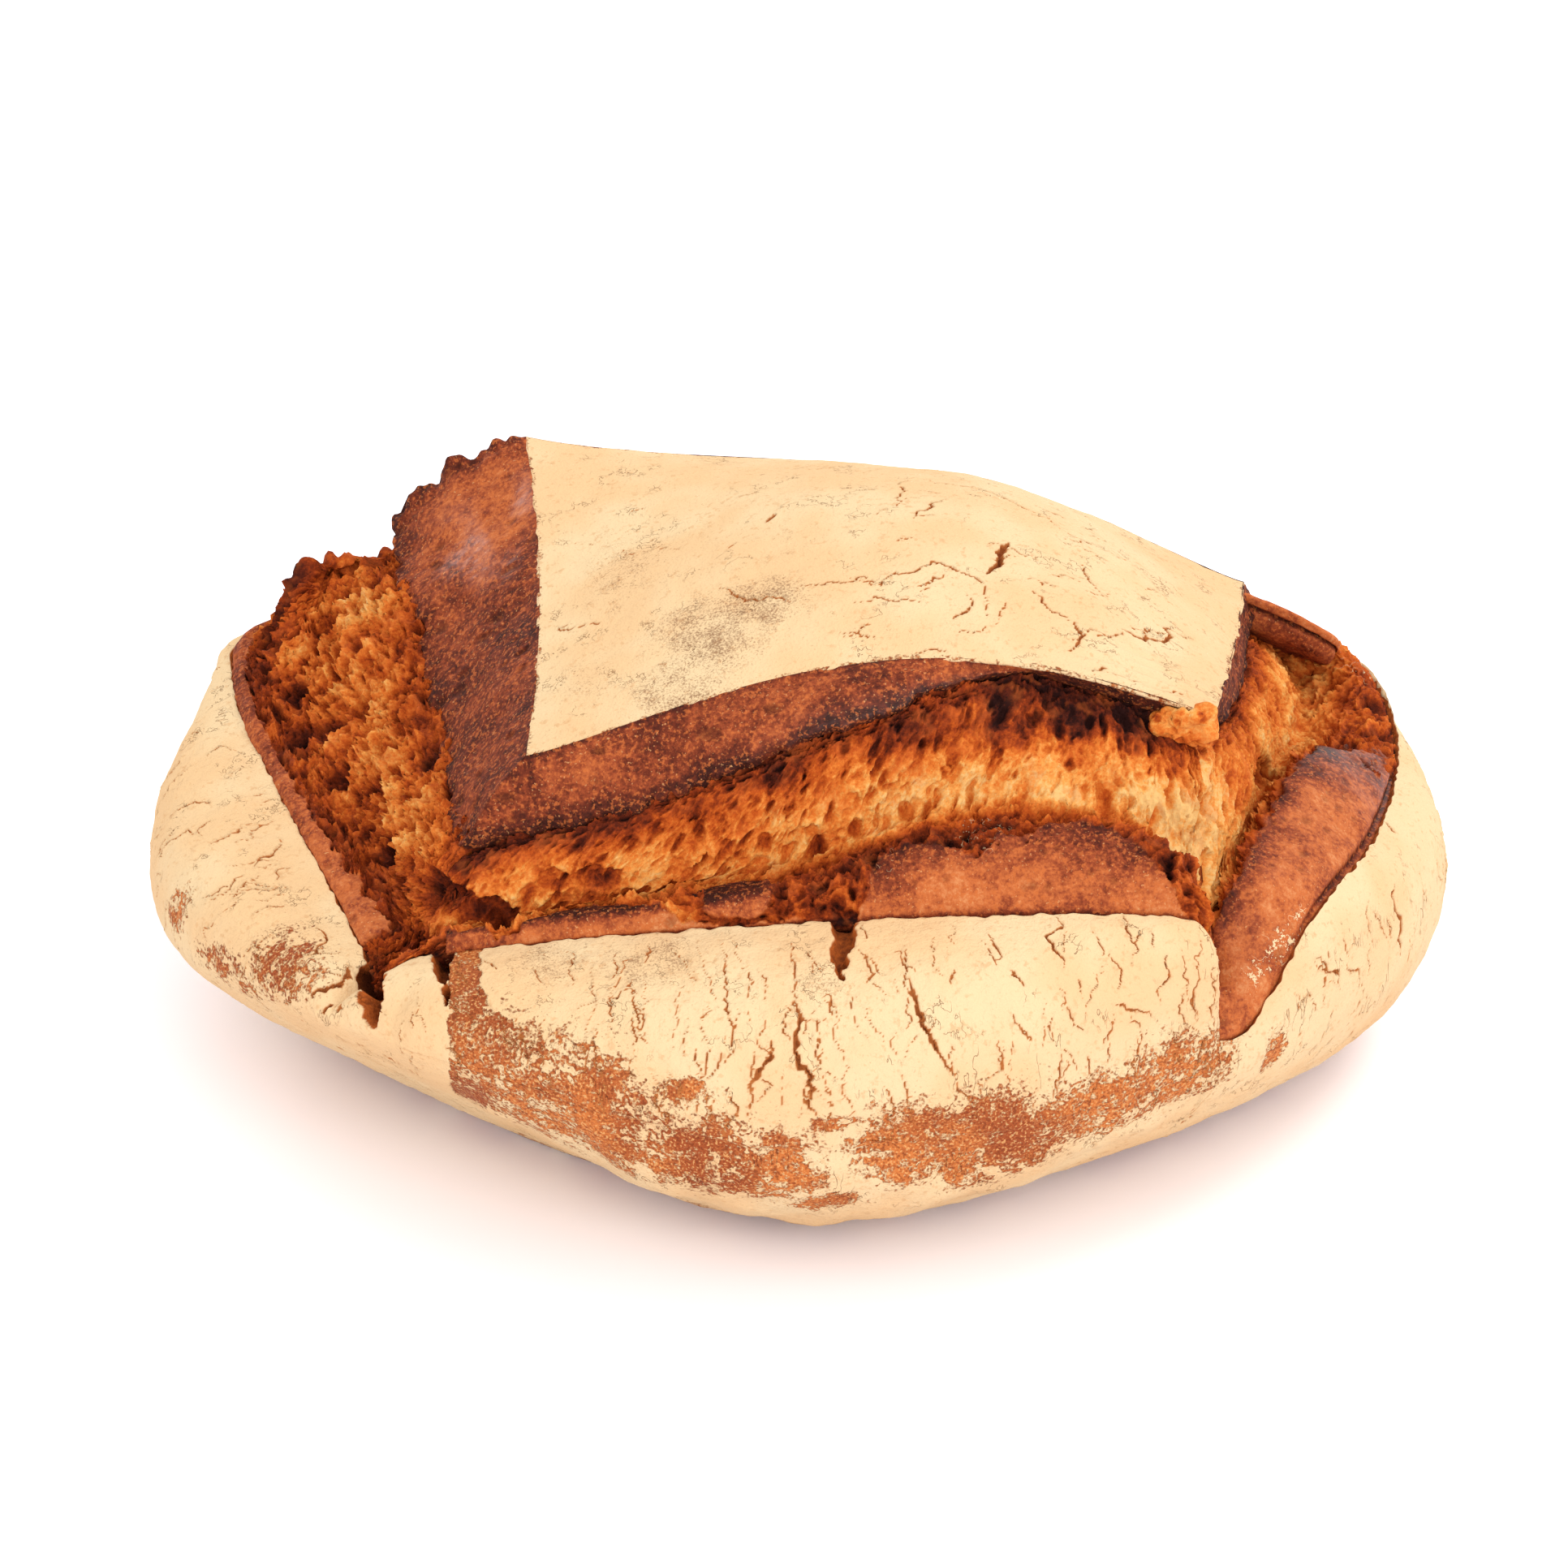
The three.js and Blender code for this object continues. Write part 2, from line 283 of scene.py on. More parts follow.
def grid_faces(rows, columns, closed_rows, closed_columns):
    """Quads between neighbours of a grid, wrapping where it closes on itself."""
    row = np.arange(rows if closed_rows else rows - 1)[:, None]
    column = np.arange(columns if closed_columns else columns - 1)[None, :]
    here = row * columns + column
    right = row * columns + (column + 1) % columns
    up = ((row + 1) % rows) * columns + column
    up_right = ((row + 1) % rows) * columns + (column + 1) % columns
    return np.stack([here, right, up_right, up], -1).reshape(-1, 4)


def closed_below(grid, marks, *rows):
    """Adds the hidden rows that close a profile; they take the marks of the last row that shows."""
    marks = {mark: np.concatenate([values] + [values[-1:]] * len(rows)) for mark, values in marks.items()}
    return np.concatenate([grid, rows]), marks


def pole_fans(rows, columns, closed_columns):
    """Triangles from a grid's first row to a point below it and from its last row to one above."""
    low, high, last = rows * columns, rows * columns + 1, (rows - 1) * columns
    faces = []
    for k in range(columns if closed_columns else columns - 1):
        following = (k + 1) % columns
        faces.append([low, following, k])
        faces.append([high, last + k, last + following])
    return faces


def add_mesh(name, points, faces, marks, sharp_degrees):
    """Puts points in millimetres and faces into a smooth mesh object with named values."""
    mesh = bpy.data.meshes.new(name)
    mesh.from_pydata((points * MM).tolist(), [], faces)
    mesh.validate()
    mesh.polygons.foreach_set("use_smooth", np.ones(len(mesh.polygons), bool))
    mesh.set_sharp_from_angle(angle=math.radians(sharp_degrees))
    for mark, values in marks.items():
        layer = mesh.attributes.new(mark, "FLOAT", "POINT")
        layer.data.foreach_set("value", np.asarray(values, np.float32))
    piece = bpy.data.objects.new(name, mesh)
    bpy.context.scene.collection.objects.link(piece)
    return piece


def end_columns(rows, columns):
    """Point numbers of a grid's first and last column."""
    first = np.arange(rows) * columns
    return first.tolist(), (first + columns - 1).tolist()


def strip_solid(name, grid, marks, closed_columns):
    """A closed profile carried round: rows close on themselves, open ends get a cap."""
    rows, columns = grid.shape[:2]
    faces = grid_faces(rows, columns, True, closed_columns).tolist()
    if not closed_columns:
        first, last = end_columns(rows, columns)
        faces += [first, last[::-1]]
    flat = {mark: values.reshape(-1) for mark, values in marks.items()}
    return add_mesh(name, grid.reshape(-1, 3), faces, flat, SHARP_CRUMB)


def wedge_solid(name, grid, bottom, top, marks):
    """A grid from one point of the axis to another, with a cap at each end of the wedge."""
    rows, columns = grid.shape[:2]
    low, high = rows * columns, rows * columns + 1
    first, last = end_columns(rows, columns)
    faces = grid_faces(rows, columns, False, False).tolist() + pole_fans(rows, columns, False)
    faces += [[low] + first + [high], [high] + last[::-1] + [low]]
    points = np.concatenate([grid.reshape(-1, 3), [bottom, top]])
    flat = {mark: np.append(values.reshape(-1), [0, 0]) for mark, values in marks.items()}
    return add_mesh(name, points, faces, flat, SHARP_CRUST)


# ---- Cracks, on a flat (along, down) map of a surface, millimetres ----
def split_line(rng, points, width, shake=0.14, halvings=3):
    """A wandering crack: its points halved and shaken; half width swells as sin(pi s) ** 0.6."""
    line = np.array(points, float)
    for _ in range(halvings):
        middle = (line[1:] + line[:-1]) / 2
        length = np.linalg.norm(line[1:] - line[:-1], axis=1)
        middle += rng.normal(0, 1, middle.shape) * (shake * length)[:, None]
        joined = np.empty((len(line) + len(middle), 2))
        joined[0::2] = line
        joined[1::2] = middle
        line = joined
    s = np.linspace(0, 1, len(line))
    return line, width / 2 * (np.sin(PI * s) ** 0.6 * rng.uniform(0.55, 1.15, len(s)) + 0.15)


def strewn_splits(rng, count, along_range, down_range, length, lean, width, spread=0.35):
    """Short cracks strewn evenly, each leaning its own way off straight down."""
    splits = []
    for _ in range(count):
        start = np.array([rng.uniform(*along_range), rng.uniform(*down_range)])
        run = rng.uniform(*length)
        angle = rng.normal(lean, spread)
        step = run * np.array([math.sin(angle), math.cos(angle)])
        middle = start + step * 0.5 + rng.normal(0, 0.12 * run, 2)
        splits.append(split_line(rng, [start, middle, start + step], rng.uniform(*width)))
    return splits


def cut_splits(along, down, splits, widen=1.0):
    """Nearness 1 - gap / half width to the nearest crack, and that crack's half width there."""
    nearness = np.zeros(along.shape)
    half_width = np.zeros(along.shape)
    for line, half in splits:
        half = half * widen
        low = line.min(0) - half.max()
        high = line.max(0) + half.max()
        near = (along > low[0]) & (along < high[0]) & (down > low[1]) & (down < high[1])
        if not near.any():
            continue
        p = np.stack([along[near], down[near]], -1)[:, None, :]
        a, b = line[:-1], line[1:]
        run = b - a
        s = np.clip(((p - a) * run).sum(-1) / np.maximum((run * run).sum(-1), 1e-9), 0, 1)
        gap = np.linalg.norm(p - (a + s[..., None] * run), axis=-1)
        width = half[:-1] + s * np.diff(half)
        closeness = 1 - gap / width
        best = closeness.argmax(1)
        pick = np.arange(len(best))
        closeness, width = closeness[pick, best], width[pick, best]
        better = closeness > nearness[near]
        nearness[near] = np.where(better, closeness, nearness[near])
        half_width[near] = np.where(better, width, half_width[near])
    return nearness, half_width


def map_of(grid):
    """Running length along each row from its middle, and length down each column from the last row."""
    along = np.zeros(grid.shape[:2])
    along[:, 1:] = np.linalg.norm(np.diff(grid, axis=1), axis=-1).cumsum(1)
    along -= along[:, [grid.shape[1] // 2]]
    down = np.zeros(grid.shape[:2])
    down[:-1] = np.linalg.norm(np.diff(grid, axis=0), axis=-1)[::-1].cumsum(0)[::-1]
    return along, down


def placed_splits(rng, grid, along, down, cracks):
    """Cracks given by places on a surface, each taken to the nearest place of its map."""
    flat = grid.reshape(-1, 3)
    splits = []
    for places, width in cracks:
        nearest = [np.argmin(((flat - np.array(place)) ** 2).sum(1)) for place in places]
        splits.append(split_line(rng, [(along.flat[k], down.flat[k]) for k in nearest], width))
    return splits


def tear_field(points):
    """1 - gap / half width to the nearest torn line in space, with a shaken, ragged edge."""
    shake = [0.8 * ripple(points, 3.4, salt) + 0.45 * ripple(points, 1.4, salt + 3) for salt in (12, 13, 14)]
    points = points + np.stack(shake, -1)
    field = np.zeros(points.shape[:-1])
    for places in TEARS:
        for (a, half_a), (b, half_b) in zip(places, places[1:]):
            a, run = np.array(a, float), np.subtract(b, a)
            s = np.clip(((points - a) @ run) / (run @ run), 0, 1)
            gap = np.linalg.norm(points - (a + s[..., None] * run), axis=-1)
            field = np.maximum(field, 1 - gap / blend(half_a, half_b, s))
    return field


def patches(points, places):
    """Largest over the places of strength * exp(-(flat gap^2 + upright gap^2) ** 1.5)."""
    field = np.zeros(points.shape[:-1])
    for x, y, z, reach, height, strength in places:
        flat = ((points[..., 0] - x) ** 2 + (points[..., 1] - y) ** 2) / reach**2
        upright = ((points[..., 2] - z) / height) ** 2
        field = np.maximum(field, strength * np.exp(-((flat + upright) ** 1.5)))
    return field


# ---- Floured walls ----
# the chief cracks: places on the wall, width
FRONT_CRACKS = [
    ([(-15, -84, 70), (-15, -97, 68), (-14, -105, 65), (-12, -109, 61)], 0.72),
    ([(-1, -102, 67), (-1, -108, 63), (3, -114, 54), (4, -115, 48)], 1.4),
    ([(-6, -109, 63), (-7, -112, 59), (-10, -114, 53)], 1.3),
    ([(-15, -108, 63), (-17, -112, 57), (-19, -112, 55)], 0.58),
    ([(23, -98, 70), (25, -104, 66), (27, -108, 62), (33, -110, 55)], 1.4),
    ([(54, -82, 76), (52, -89, 73), (55, -95, 70)], 0.86),
    ([(44, -96, 71), (47, -99, 69)], 0.86),
    ([(44, -103, 65), (48, -105, 60)], 0.72),
    ([(68, -82, 76), (69, -92, 70)], 0.58),
    ([(65, -91, 72), (66, -96, 67)], 0.58),
    ([(55, -100, 66), (57, -102, 62), (60, -101, 60)], 0.58),
    ([(65, -98, 65), (69, -97, 63), (74, -96, 60)], 0.72),
    ([(-43, -87, 67), (-47, -99, 64)], 0.43),
    ([(-9, -96, 69), (-10, -107, 64)], 0.5),
    ([(21, -112, 57), (24, -112, 51)], 0.58),
    ([(25, -108, 63), (21, -111, 58)], 0.43),
    ([(-33, -86, 69), (-38, -93, 68), (-40, -98, 66)], 0.43),
    ([(-24, -95, 68), (-25, -104, 64), (-26, -108, 60)], 0.36),
]
LEFT_CRACKS = [
    ([(-122, -19, 61), (-126, -22, 60), (-129, -24, 58)], 0.8),
    ([(-114, -24, 61), (-119, -34, 59)], 0.9),
    ([(-121, -36, 58), (-126, -41, 55)], 0.7),
    ([(-104, -56, 57), (-101, -62, 56), (-103, -66, 54)], 0.8),
    ([(-96, -70, 56), (-98, -74, 54), (-103, -76, 50)], 1.3),
    ([(-99, -78, 52), (-101, -78, 50)], 1.2),
    ([(-95, -75, 52), (-96, -81, 52)], 0.9),
    ([(-102, -71, 56), (-104, -71, 55)], 0.7),
    ([(-107, -70, 42), (-103, -71, 40)], 0.8),
    ([(-85, -80, 58), (-85, -86, 54)], 0.6),
    ([(-118, -36, 59), (-121, -39, 59), (-123, -43, 57)], 0.6),
    ([(-111, -34, 60), (-114, -39, 60)], 0.5),
    ([(-130, -15, 61), (-132, -20, 59)], 0.5),
]
RIGHT_CRACKS = [
    ([(130, -42, 60), (131, -43, 52), (132, -44, 43)], 1.5),
    ([(128, -24, 66), (131, -27, 64)], 0.9),
    ([(110, -69, 58), (113, -66, 53), (116, -64, 47)], 0.9),
    ([(120, -50, 60), (122, -52, 52)], 0.5),
]
# deep tears down the wall from its lip: (place, half width) along the tear
TEARS = [
    [((-91, -71, 54), 4.0), ((-90, -79, 57), 3.6), ((-90, -84, 56), 2.7), ((-90, -87, 51), 1.0)],
    [((-76, -72, 62), 2.5), ((-75.5, -78, 63), 2.2), ((-74.5, -86, 63), 1.4), ((-74, -92, 61), 0.4)],
    [((10, -78, 74), 3.6), ((9.5, -87, 73.5), 2.7), ((8.5, -93, 72), 1.9), ((9.5, -100, 69), 0.3)],
]
# where the flour has worn off: x, y, z, reach, height, strength
BARE_PATCHES = [
    (-42, -108, 40, 10, 20, 0.95),
    (-56, -103, 42, 16, 22, 0.62),
    (-24, -112, 53, 9, 3, 0.72),
    (-34, -109, 50, 8, 3, 0.66),
    (-21, -112, 36, 15, 13, 0.78),
    (-6, -113, 34, 12, 13, 0.72),
    (9, -114, 46, 8, 2.4, 0.68),
    (6, -110, 23, 9, 4, 0.7),
    (40, -108, 38, 19, 13, 0.9),
    (22, -112, 39, 12, 12, 0.74),
    (63, -101, 41, 15, 10, 0.8),
    (80, -93, 45, 18, 12, 0.62),
    (102, -77, 39, 3.5, 8, 0.8),
    (-111, -66, 54, 12, 8, 0.6),
    (-136, -35, 50, 5, 6, 0.6),
    (-122, -54, 46, 14, 6, 0.52),
]
BASE_RINGS = [0.35, 0.7, 0.94]  # rings of the flat base, as shares of the foot
FLOUR_LIFT = 0.3  # flour stands this far over bare crust, and up along a crack
LIFT_WIDEN = 3.0  # over this many times the crack's width
CRACK_DEEPEST = 3.2
TEAR_DEPTH = 5
MIDDLE_TEAR_RISE = 1.8  # a tear in the middle of the front is this much shallower
BROWN_INSIDE = 3.0  # mark that turns the hidden inner side of the wall's lip brown
# right edge of the bare strip down the left end of the front wall: -y, x
STRIP = [(80, -67), (87, -67), (94, -65), (100, -59)]
GREY_PATCHES = [(-32, -88, 70, 13, 6, 0.72), (4, -96, 68, 9, 5, 0.7), (-54, -84, 67, 10, 7, 0.66)]


def meridians(t, under_rows, wall_rows):
    """Base, underside and wall at each t: two cubic Beziers joined at the widest line."""
    lip = lip_ring(t)
    bearing, out = heading(lip)
    turn = bearing / (2 * PI)
    foot = on_oval(FOOT, bearing)
    widest = on_oval(WIDEST, bearing)
    widest[:, 2] = around(WIDEST_HEIGHT, turn)
    overhang = np.linalg.norm((widest - foot)[:, :2], axis=1)[:, None]
    low = foot + 0.4 * overhang * (out + UP * around(UNDERSIDE_RISE, turn)[:, None])
    hang = widest - UP * (widest[:, 2] * around(UNDERSIDE_HANG, turn))[:, None]
    rise = (lip[:, 2] - widest[:, 2])[:, None]
    shoulder = widest + 0.75 * rise * UP
    setback = np.linalg.norm((widest - lip)[:, :2], axis=1)
    brow = lip + (0.5 * setback + around(BROW_BULGE, turn))[:, None] * out - 0.05 * rise * UP
    under = bezier(foot, low, hang, widest, np.linspace(0, 1, under_rows + 1)[:-1])
    side = np.linspace(0, 1, wall_rows)
    wall = bezier(widest, shoulder, brow, lip, side)
    proud = APRON_PROUD * ease(0.1, 0.15, t) * (1 - ease(0.96, 1, t)) * (t < 1.5)
    wall = wall + out * proud[:, None] * np.sin(PI * (0.1 + 0.85 * side))[:, None, None]
    base = foot * np.array(BASE_RINGS)[:, None, None]
    return np.concatenate([base, under, wall]), lip, out


def strip_field(grid):
    """How bare the strip is: 1 between its two wandering edges, less low down and out of front."""
    x, y, z = grid[..., 0], grid[..., 1], grid[..., 2]
    left_edge = -73.6 + 0.5 * ripple(grid, 5, 6)
    right_edge = np.interp(-y, *np.array(STRIP).T) + 1.3 * ripple(grid, 4, 6) + 0.5 * ripple(grid, 1.5, 16)
    strip = ease(-0.4, 0.4, x - left_edge) * ease(0.4, -0.4, x - right_edge) * (y < -60)
    return strip * blend(0.95, 0.62, ease(86, 94, -y)) * ease(24, 38, z)


def wall_swell(grid, down):
    """Soft unevenness of the wall, lumpier low in front, dying out at the lip and the foot."""
    z = grid[..., 2]
    swell = 0.9 * ripple(grid, 38, 1) + 0.45 * ripple(grid, 15, 2) + 0.2 * rolling(grid, 5, 2, 3)
    swell = swell + 0.16 * ripple(grid * np.array([1, 1, 0.45]), 2.6, 9)
    clumps = (1.2 * ripple(grid, 19, 21) + 0.7 * ripple(grid, 9, 22)) * ease(54, 40, z)
    swell = swell + clumps * ease(-70, -95, grid[..., 1])
    return swell * (0.25 + 0.75 * ease(0, 6, down)) * ease(0, 8, z)


def wall_piece(name, t_range, columns, rows, cracks, strewn, salt):
    """One wedge of the floured wall: cracks and tears cut in, flour worn off in patches."""
    t = np.linspace(*t_range, columns) % 4
    under_rows, wall_rows = rows
    low_rows = len(BASE_RINGS) + under_rows
    grid, lip, out = meridians(t, under_rows, wall_rows)
    along, down = map_of(grid)
    rng = np.random.default_rng(salt)
    splits = placed_splits(rng, grid, along, down, cracks)
    reach = along[low_rows + wall_rows // 2]
    splits += strewn_splits(
        rng, strewn, (reach[0], reach[-1]), (1, 44), length=(3, 14), lean=0.05, width=(0.34, 0.7), spread=0.24
    )
    jag_along, jag_down = 0.4 * ripple(grid, 1.7, 17), 0.4 * ripple(grid, 1.7, 18)
    crack, half_width = cut_splits(along + jag_along, down + jag_down, splits)
    lifted, _ = cut_splits(along, down, splits, LIFT_WIDEN)
    tear = tear_field(grid)
    middle = ease(-60, -40, grid[..., 0])
    grey = patches(grid, GREY_PATCHES)
    bare = np.maximum(patches(grid, BARE_PATCHES), strip_field(grid))

    relief = wall_swell(grid, down) + FLOUR_LIFT * ease(0, 1, lifted) * (1 - crack)
    relief = relief - np.clip(1.7 * half_width - 0.1, 0.15, CRACK_DEEPEST) * ease(0, 0.8, crack)
    relief = relief - FLOUR_LIFT * ease(0.35, 0.6, bare)
    relief = relief - (TEAR_DEPTH - MIDDLE_TEAR_RISE * middle) * ease(0, 0.6, tear)
    frayed = 0.5 * ripple(grid, 6, 4) + 0.4 * ripple(grid, 2.2, 5)
    grid = grid + normals_of(grid) * relief[..., None]
    grid = grid - (out - 0.6 * UP) * (frayed * ease(3, 0, down))[..., None]
    grid[:low_rows, :, 2] = np.maximum(grid[:low_rows, :, 2], 0)
    grid[: len(BASE_RINGS) + 1, :, 2] = 0

    marks = {
        "flour": 1 - np.maximum(bare, 0.5 * ease(14, 2, grid[..., 2])),
        "crack": ease(0, 0.6, crack) * np.clip(0.3 + 0.45 * half_width, 0, 1),
        "grey": grey,
        "tear": np.clip(tear, 0, 1) * (1 - 0.25 * middle),
    }
    grid, marks = closed_below(grid, marks, lip - out * 5 - UP * 6)
    marks["tear"][-1] = BROWN_INSIDE
    return wedge_solid(name, grid, (0, 0, 0), (0, 0, 45), marks)


# ---- Torn crumb with its browned band, from the lip down into the slash and up to the lid ----
# a place on its profile is a station: 1 the lip, 3 the band's inner edge, 5 the floor, 8 the lid's skirt
# hollows of the crumb: place x, y, z, width of the pore, its height over its width, depth
HOLLOWS = [
    (-77, -61, 69, 7, 0.8, 6), (-71, -63, 68, 6, 0.7, 4), (-65, -65, 67, 5, 0.8, 5),
    (-52, -65, 75, 3.5, 0.8, 2.5), (-42, -64, 76, 6, 0.45, 2.5), (-21, -65, 87, 1.6, 1.6, 1.6),
    (-7, -64, 84, 1.8, 1.5, 2), (3, -64, 85, 1.5, 1.8, 1.8), (5, -64, 82, 1.3, 1.8, 2),
    (12, -62, 86, 1.8, 1.8, 2.2), (17, -61, 87, 1.5, 1.6, 1.6), (23, -60, 89, 1.6, 1.4, 1.6),
    (26, -53, 102, 3.0, 1.0, 4), (32, -56, 96, 2.4, 1.2, 1.5),
    (-107, 40, 80, 5, 0.8, 3), (-119, 42, 72, 4, 1.2, 3), (-113, 26, 69, 4.5, 0.8, 2.5),
    (-105, 22, 73, 3, 1.0, 2), (-97, 9, 74, 4, 0.8, 2.5), (-111, 12, 66, 5, 0.9, 3),
    (-103, 10, 68, 5.5, 0.8, 2.6), (-92, -15, 68, 4, 1.0, 2.5), (-82, -30, 71, 4, 0.9, 3),
    (-87, -4, 76, 3, 1.0, 2), (-101, -6, 66, 4, 1.0, 3), (-88, -36, 64, 5, 1.0, 4),
    (95, -47, 78, 2.4, 1.5, 1.2), (86, -53, 87, 3, 1.3, 1.5),
    (103, -14, 72, 4, 1.2, 3), (121, 23, 72, 5, 0.9, 4), (131, 26, 67, 4, 1.0, 4),
    (121, 3, 72, 6, 0.8, 3), (111, 16, 74, 4, 1.0, 2),
]
# where flour has caught on the crumb and the band
FLECKS = [
    (104, -72, 63, 6, 5, 0.8), (98, -77, 59, 4, 4, 0.8), (107, -67, 67, 3, 3, 0.7),
    (39, -66, 87, 8, 3, 0.5), (20, -69, 82, 7, 3, 0.4), (60, -66, 84, 6, 3, 0.4), (130, 40, 70, 9, 6, 0.5),
]
# top edge of the whole skin over the front lip: x, station
FRONT_SKIN = [
    (-76, 0.0), (-75, 0.3), (-74.6, 2.4), (-67, 2.4), (-64, 1.4), (-58, 1.9),
    (-46, 3.4), (-32, 2.4), (-24, 1.3), (6, 1.15), (8, 0.9), (12, 0.9),
    (14, 1.5), (17, 2.7), (23, 3.0), (33, 2.5), (37, 2.2), (45, 2.7), (52, 2.9), (58, 3.35),
    (66, 3.3), (73, 2.7), (79, 1.7), (83, 0.9), (86, 0.9), (88, 4.0),
]
SLASH_ROWS = [5, 26, 24, 14, 14, 28, 32, 22, 4]  # rows from each station to the next
# the rings are averaged over these steps of t where the front and the right slash meet
CORNER_SHIFTS = (-0.1, -0.06, -0.03, 0.0, 0.03, 0.06, 0.1)


def chart_of(t, depth):
    """Noise domain that follows a slash: length round the floor bent to a circle, and depth."""
    steps = np.linspace(0, 4, 1601)
    ring = np.concatenate([torn_rings(steps[:-1])[2], torn_rings(steps[:1])[2]])
    length = np.concatenate([[0], np.linalg.norm(np.diff(ring, axis=0), axis=1).cumsum()])
    turn = 2 * PI * np.interp(t, steps, length) / length[-1]
    radius = length[-1] / (2 * PI)
    flat = np.stack([radius * np.cos(turn), radius * np.sin(turn)], -1)
    return np.concatenate([np.broadcast_to(flat, depth.shape + (2,)), depth[..., None]], -1)


def torn_rings(t):
    """Lip, band, floor and flank rings of the slash, and the outward direction at the lip."""
    lip = lip_ring(t)
    _, out = heading(lip)
    band = lip + around(BAND_FROM_LIP, t / 4) + np.outer(bell(EAR_FOOT, t), EAR_FOOT["shift"])
    flank = on_ring(LID, t) + around(FLANK_FROM_LID, t / 4)
    floor = blend(band, flank, around(FLOOR_PLACE, t / 4)[:, None])
    floor[:, 2] -= around(FLOOR_DEPTH, t / 4)
    return lip, band, floor, flank, out


def torn_profile(t):
    """Catmull-Rom profile over the rings at each t, and the station of each of its rows."""
    lip, band, floor, flank, out = torn_rings(t)
    sag = sum(shape["depth"] * bell(shape, t) for shape in SAGS)[:, None]
    meet = ease(3.02, 3.12, t)[:, None]
    stations = [
        lip - out * 3 - UP * 5,
        lip - out * 0.9 - UP * 1.1,
        blend(lip, band, 0.5) + UP * (1.6 - 1.3 * ease(2.9, 3.1, t))[:, None],
        band,
        blend(band, floor, 0.4) - UP * 1.0,
        floor,
        blend(floor, flank, 0.35) + out * 2.0 - UP * 0.9 * sag,
        blend(floor, flank, 0.75) + out * 1.5 + UP * (0.8 * meet - 1.1 * sag),
        flank - out * 3.0 - UP * (0.5 - 1.9 * meet + 0.8 * sag),
        flank - out * 12.0 + UP * 1.0,
    ]
    rows, place = [], []
    for k, count in enumerate(SLASH_ROWS):
        a, b, c, d = (stations[min(max(k + step, 0), len(stations) - 1)] for step in (-1, 0, 1, 2))
        for s in np.arange(count) / count:
            rows.append(catmull(a, b, c, d, s))
            place.append(k + s)
    rows.append(stations[-1])
    place.append(len(SLASH_ROWS))
    return np.array(rows), np.array(place)[:, None]


def torn_piece(name, t_range, columns):
    """A strip of torn crumb, its front right corner rounded by averaging, rough along its normals."""
    t = np.linspace(*t_range, columns) % 4
    grid, place = torn_profile(t)
    place = place + 0 * grid[..., 0]
    soft = sum(torn_profile((t + shift) % 4)[0] for shift in CORNER_SHIFTS) / len(CORNER_SHIFTS)
    rounded = bell({"at": 1.0, "width": 0.15}, t) * ease(3.2, 4.6, place)
    grid = blend(grid, soft, rounded[..., None])
    depth = np.zeros(grid.shape[:2])
    depth[1:] = np.linalg.norm(np.diff(grid, axis=0), axis=-1).cumsum(0)
    chart = chart_of(t, depth)

    skin = skin_field(t, place, grid)
    left = ease(3.0, 3.1, t) * (1 - ease(3.93, 4, t))
    wall = ease(4.3, 5.2, place) * (1 - ease(7.3, 8.1, place)) * (1 - left)
    drawn = blend(np.ones(3), np.array([0.6, 0.6, 1.0]), left[..., None])
    relief, ridged, hollow = crumb_relief(chart * drawn, wall, left)
    dents = pits(chart, 11, 0.4, 62) * left
    rim = np.clip(1 - np.abs(dents - 0.12) / 0.12, 0, 1)
    rag = bell({"at": 3.0, "width": 0.06}, t) * ease(3.6, 4.6, place) * (1 - ease(7.2, 7.9, place))
    spikes = 4.6 * ripple(chart, 6, 65) + 2.8 * ripple(chart, 2.6, 66)
    calm = 0.6 * bell({"at": 1.92, "width": 0.18}, t) * ease(4.5, 3.2, place)
    rough = (relief - 1.2 * dents + 0.5 * rim) * (1 - calm) - 0.8 * calm + rag * (spikes + 0.8)
    scooped = scoop(grid, HOLLOWS)
    smooth = 0.5 * ripple(chart, 14, 56) + 0.3 * ripple(chart, 5, 57) + 0.14 * ripple(chart, 1.8, 58)
    specks = pits(chart, 2.3, 0.12, 63)
    smooth = 0.9 + smooth - 0.45 * specks
    right = ease(0.97, 1.02, t) * (1 - ease(1.66, 1.72, t))
    groove = bell({"at": 1.16, "width": 0.1}, place) * right * ease(1.06, 1.3, t)
    opened = ease(0.7, 1.5, place) * (1 - 0.7 * ease(7.9, 8.8, place))
    height = blend(rough * opened, smooth * ease(0.9, 1.3, place) - 1.3 * groove, skin)
    height = height - scooped * (1 - skin)
    grid = grid + normals_of(grid) * height[..., None]
    fold = bell({"at": 1.0, "width": 0.1}, t) * ease(3.6, 4.6, place) * ease(8, 7.2, place)
    grid[..., 0] += fold * (1.6 * ripple(grid, 12, 67) + 1.0 * ripple(grid, 5, 68))

    toast = toast_field(t, place, grid, skin)
    # painted shade: bare crumb is coloured darker down between its ridges than on them
    toast = toast + (1 - skin) * (0.34 * (0.4 - ridged) + 0.12 * rim)
    # painted shade: darker in the groove beside the ear and in a thin line just inside the floured lip
    toast = toast + 0.45 * groove + 0.3 * ease(1.25, 1.05, place) * (1 - right)
    toast = toast + rag * (0.25 + 0.2 * ripple(chart, 5.5, 65))
    # painted shade: the deep mark darkens pores, hollows and dents of the crumb and the small pits of the
    # skin
    deep = np.clip(0.7 * hollow + 0.25 * dents + 0.28 * np.clip(scooped, 0, 4), 0, 1)
    deep = deep * (1 - skin) + 0.5 * specks * skin
    gloss = right * (0.1 + 0.7 * ease(1.42, 1.6, t)) * skin
    marks = crumb_marks(toast, skin, deep, patches(grid, FLECKS), gloss)
    grid, marks = closed_below(grid, marks, (grid[0] + grid[-1]) / 2 - UP * 14)
    return strip_solid(name, grid, marks, False)


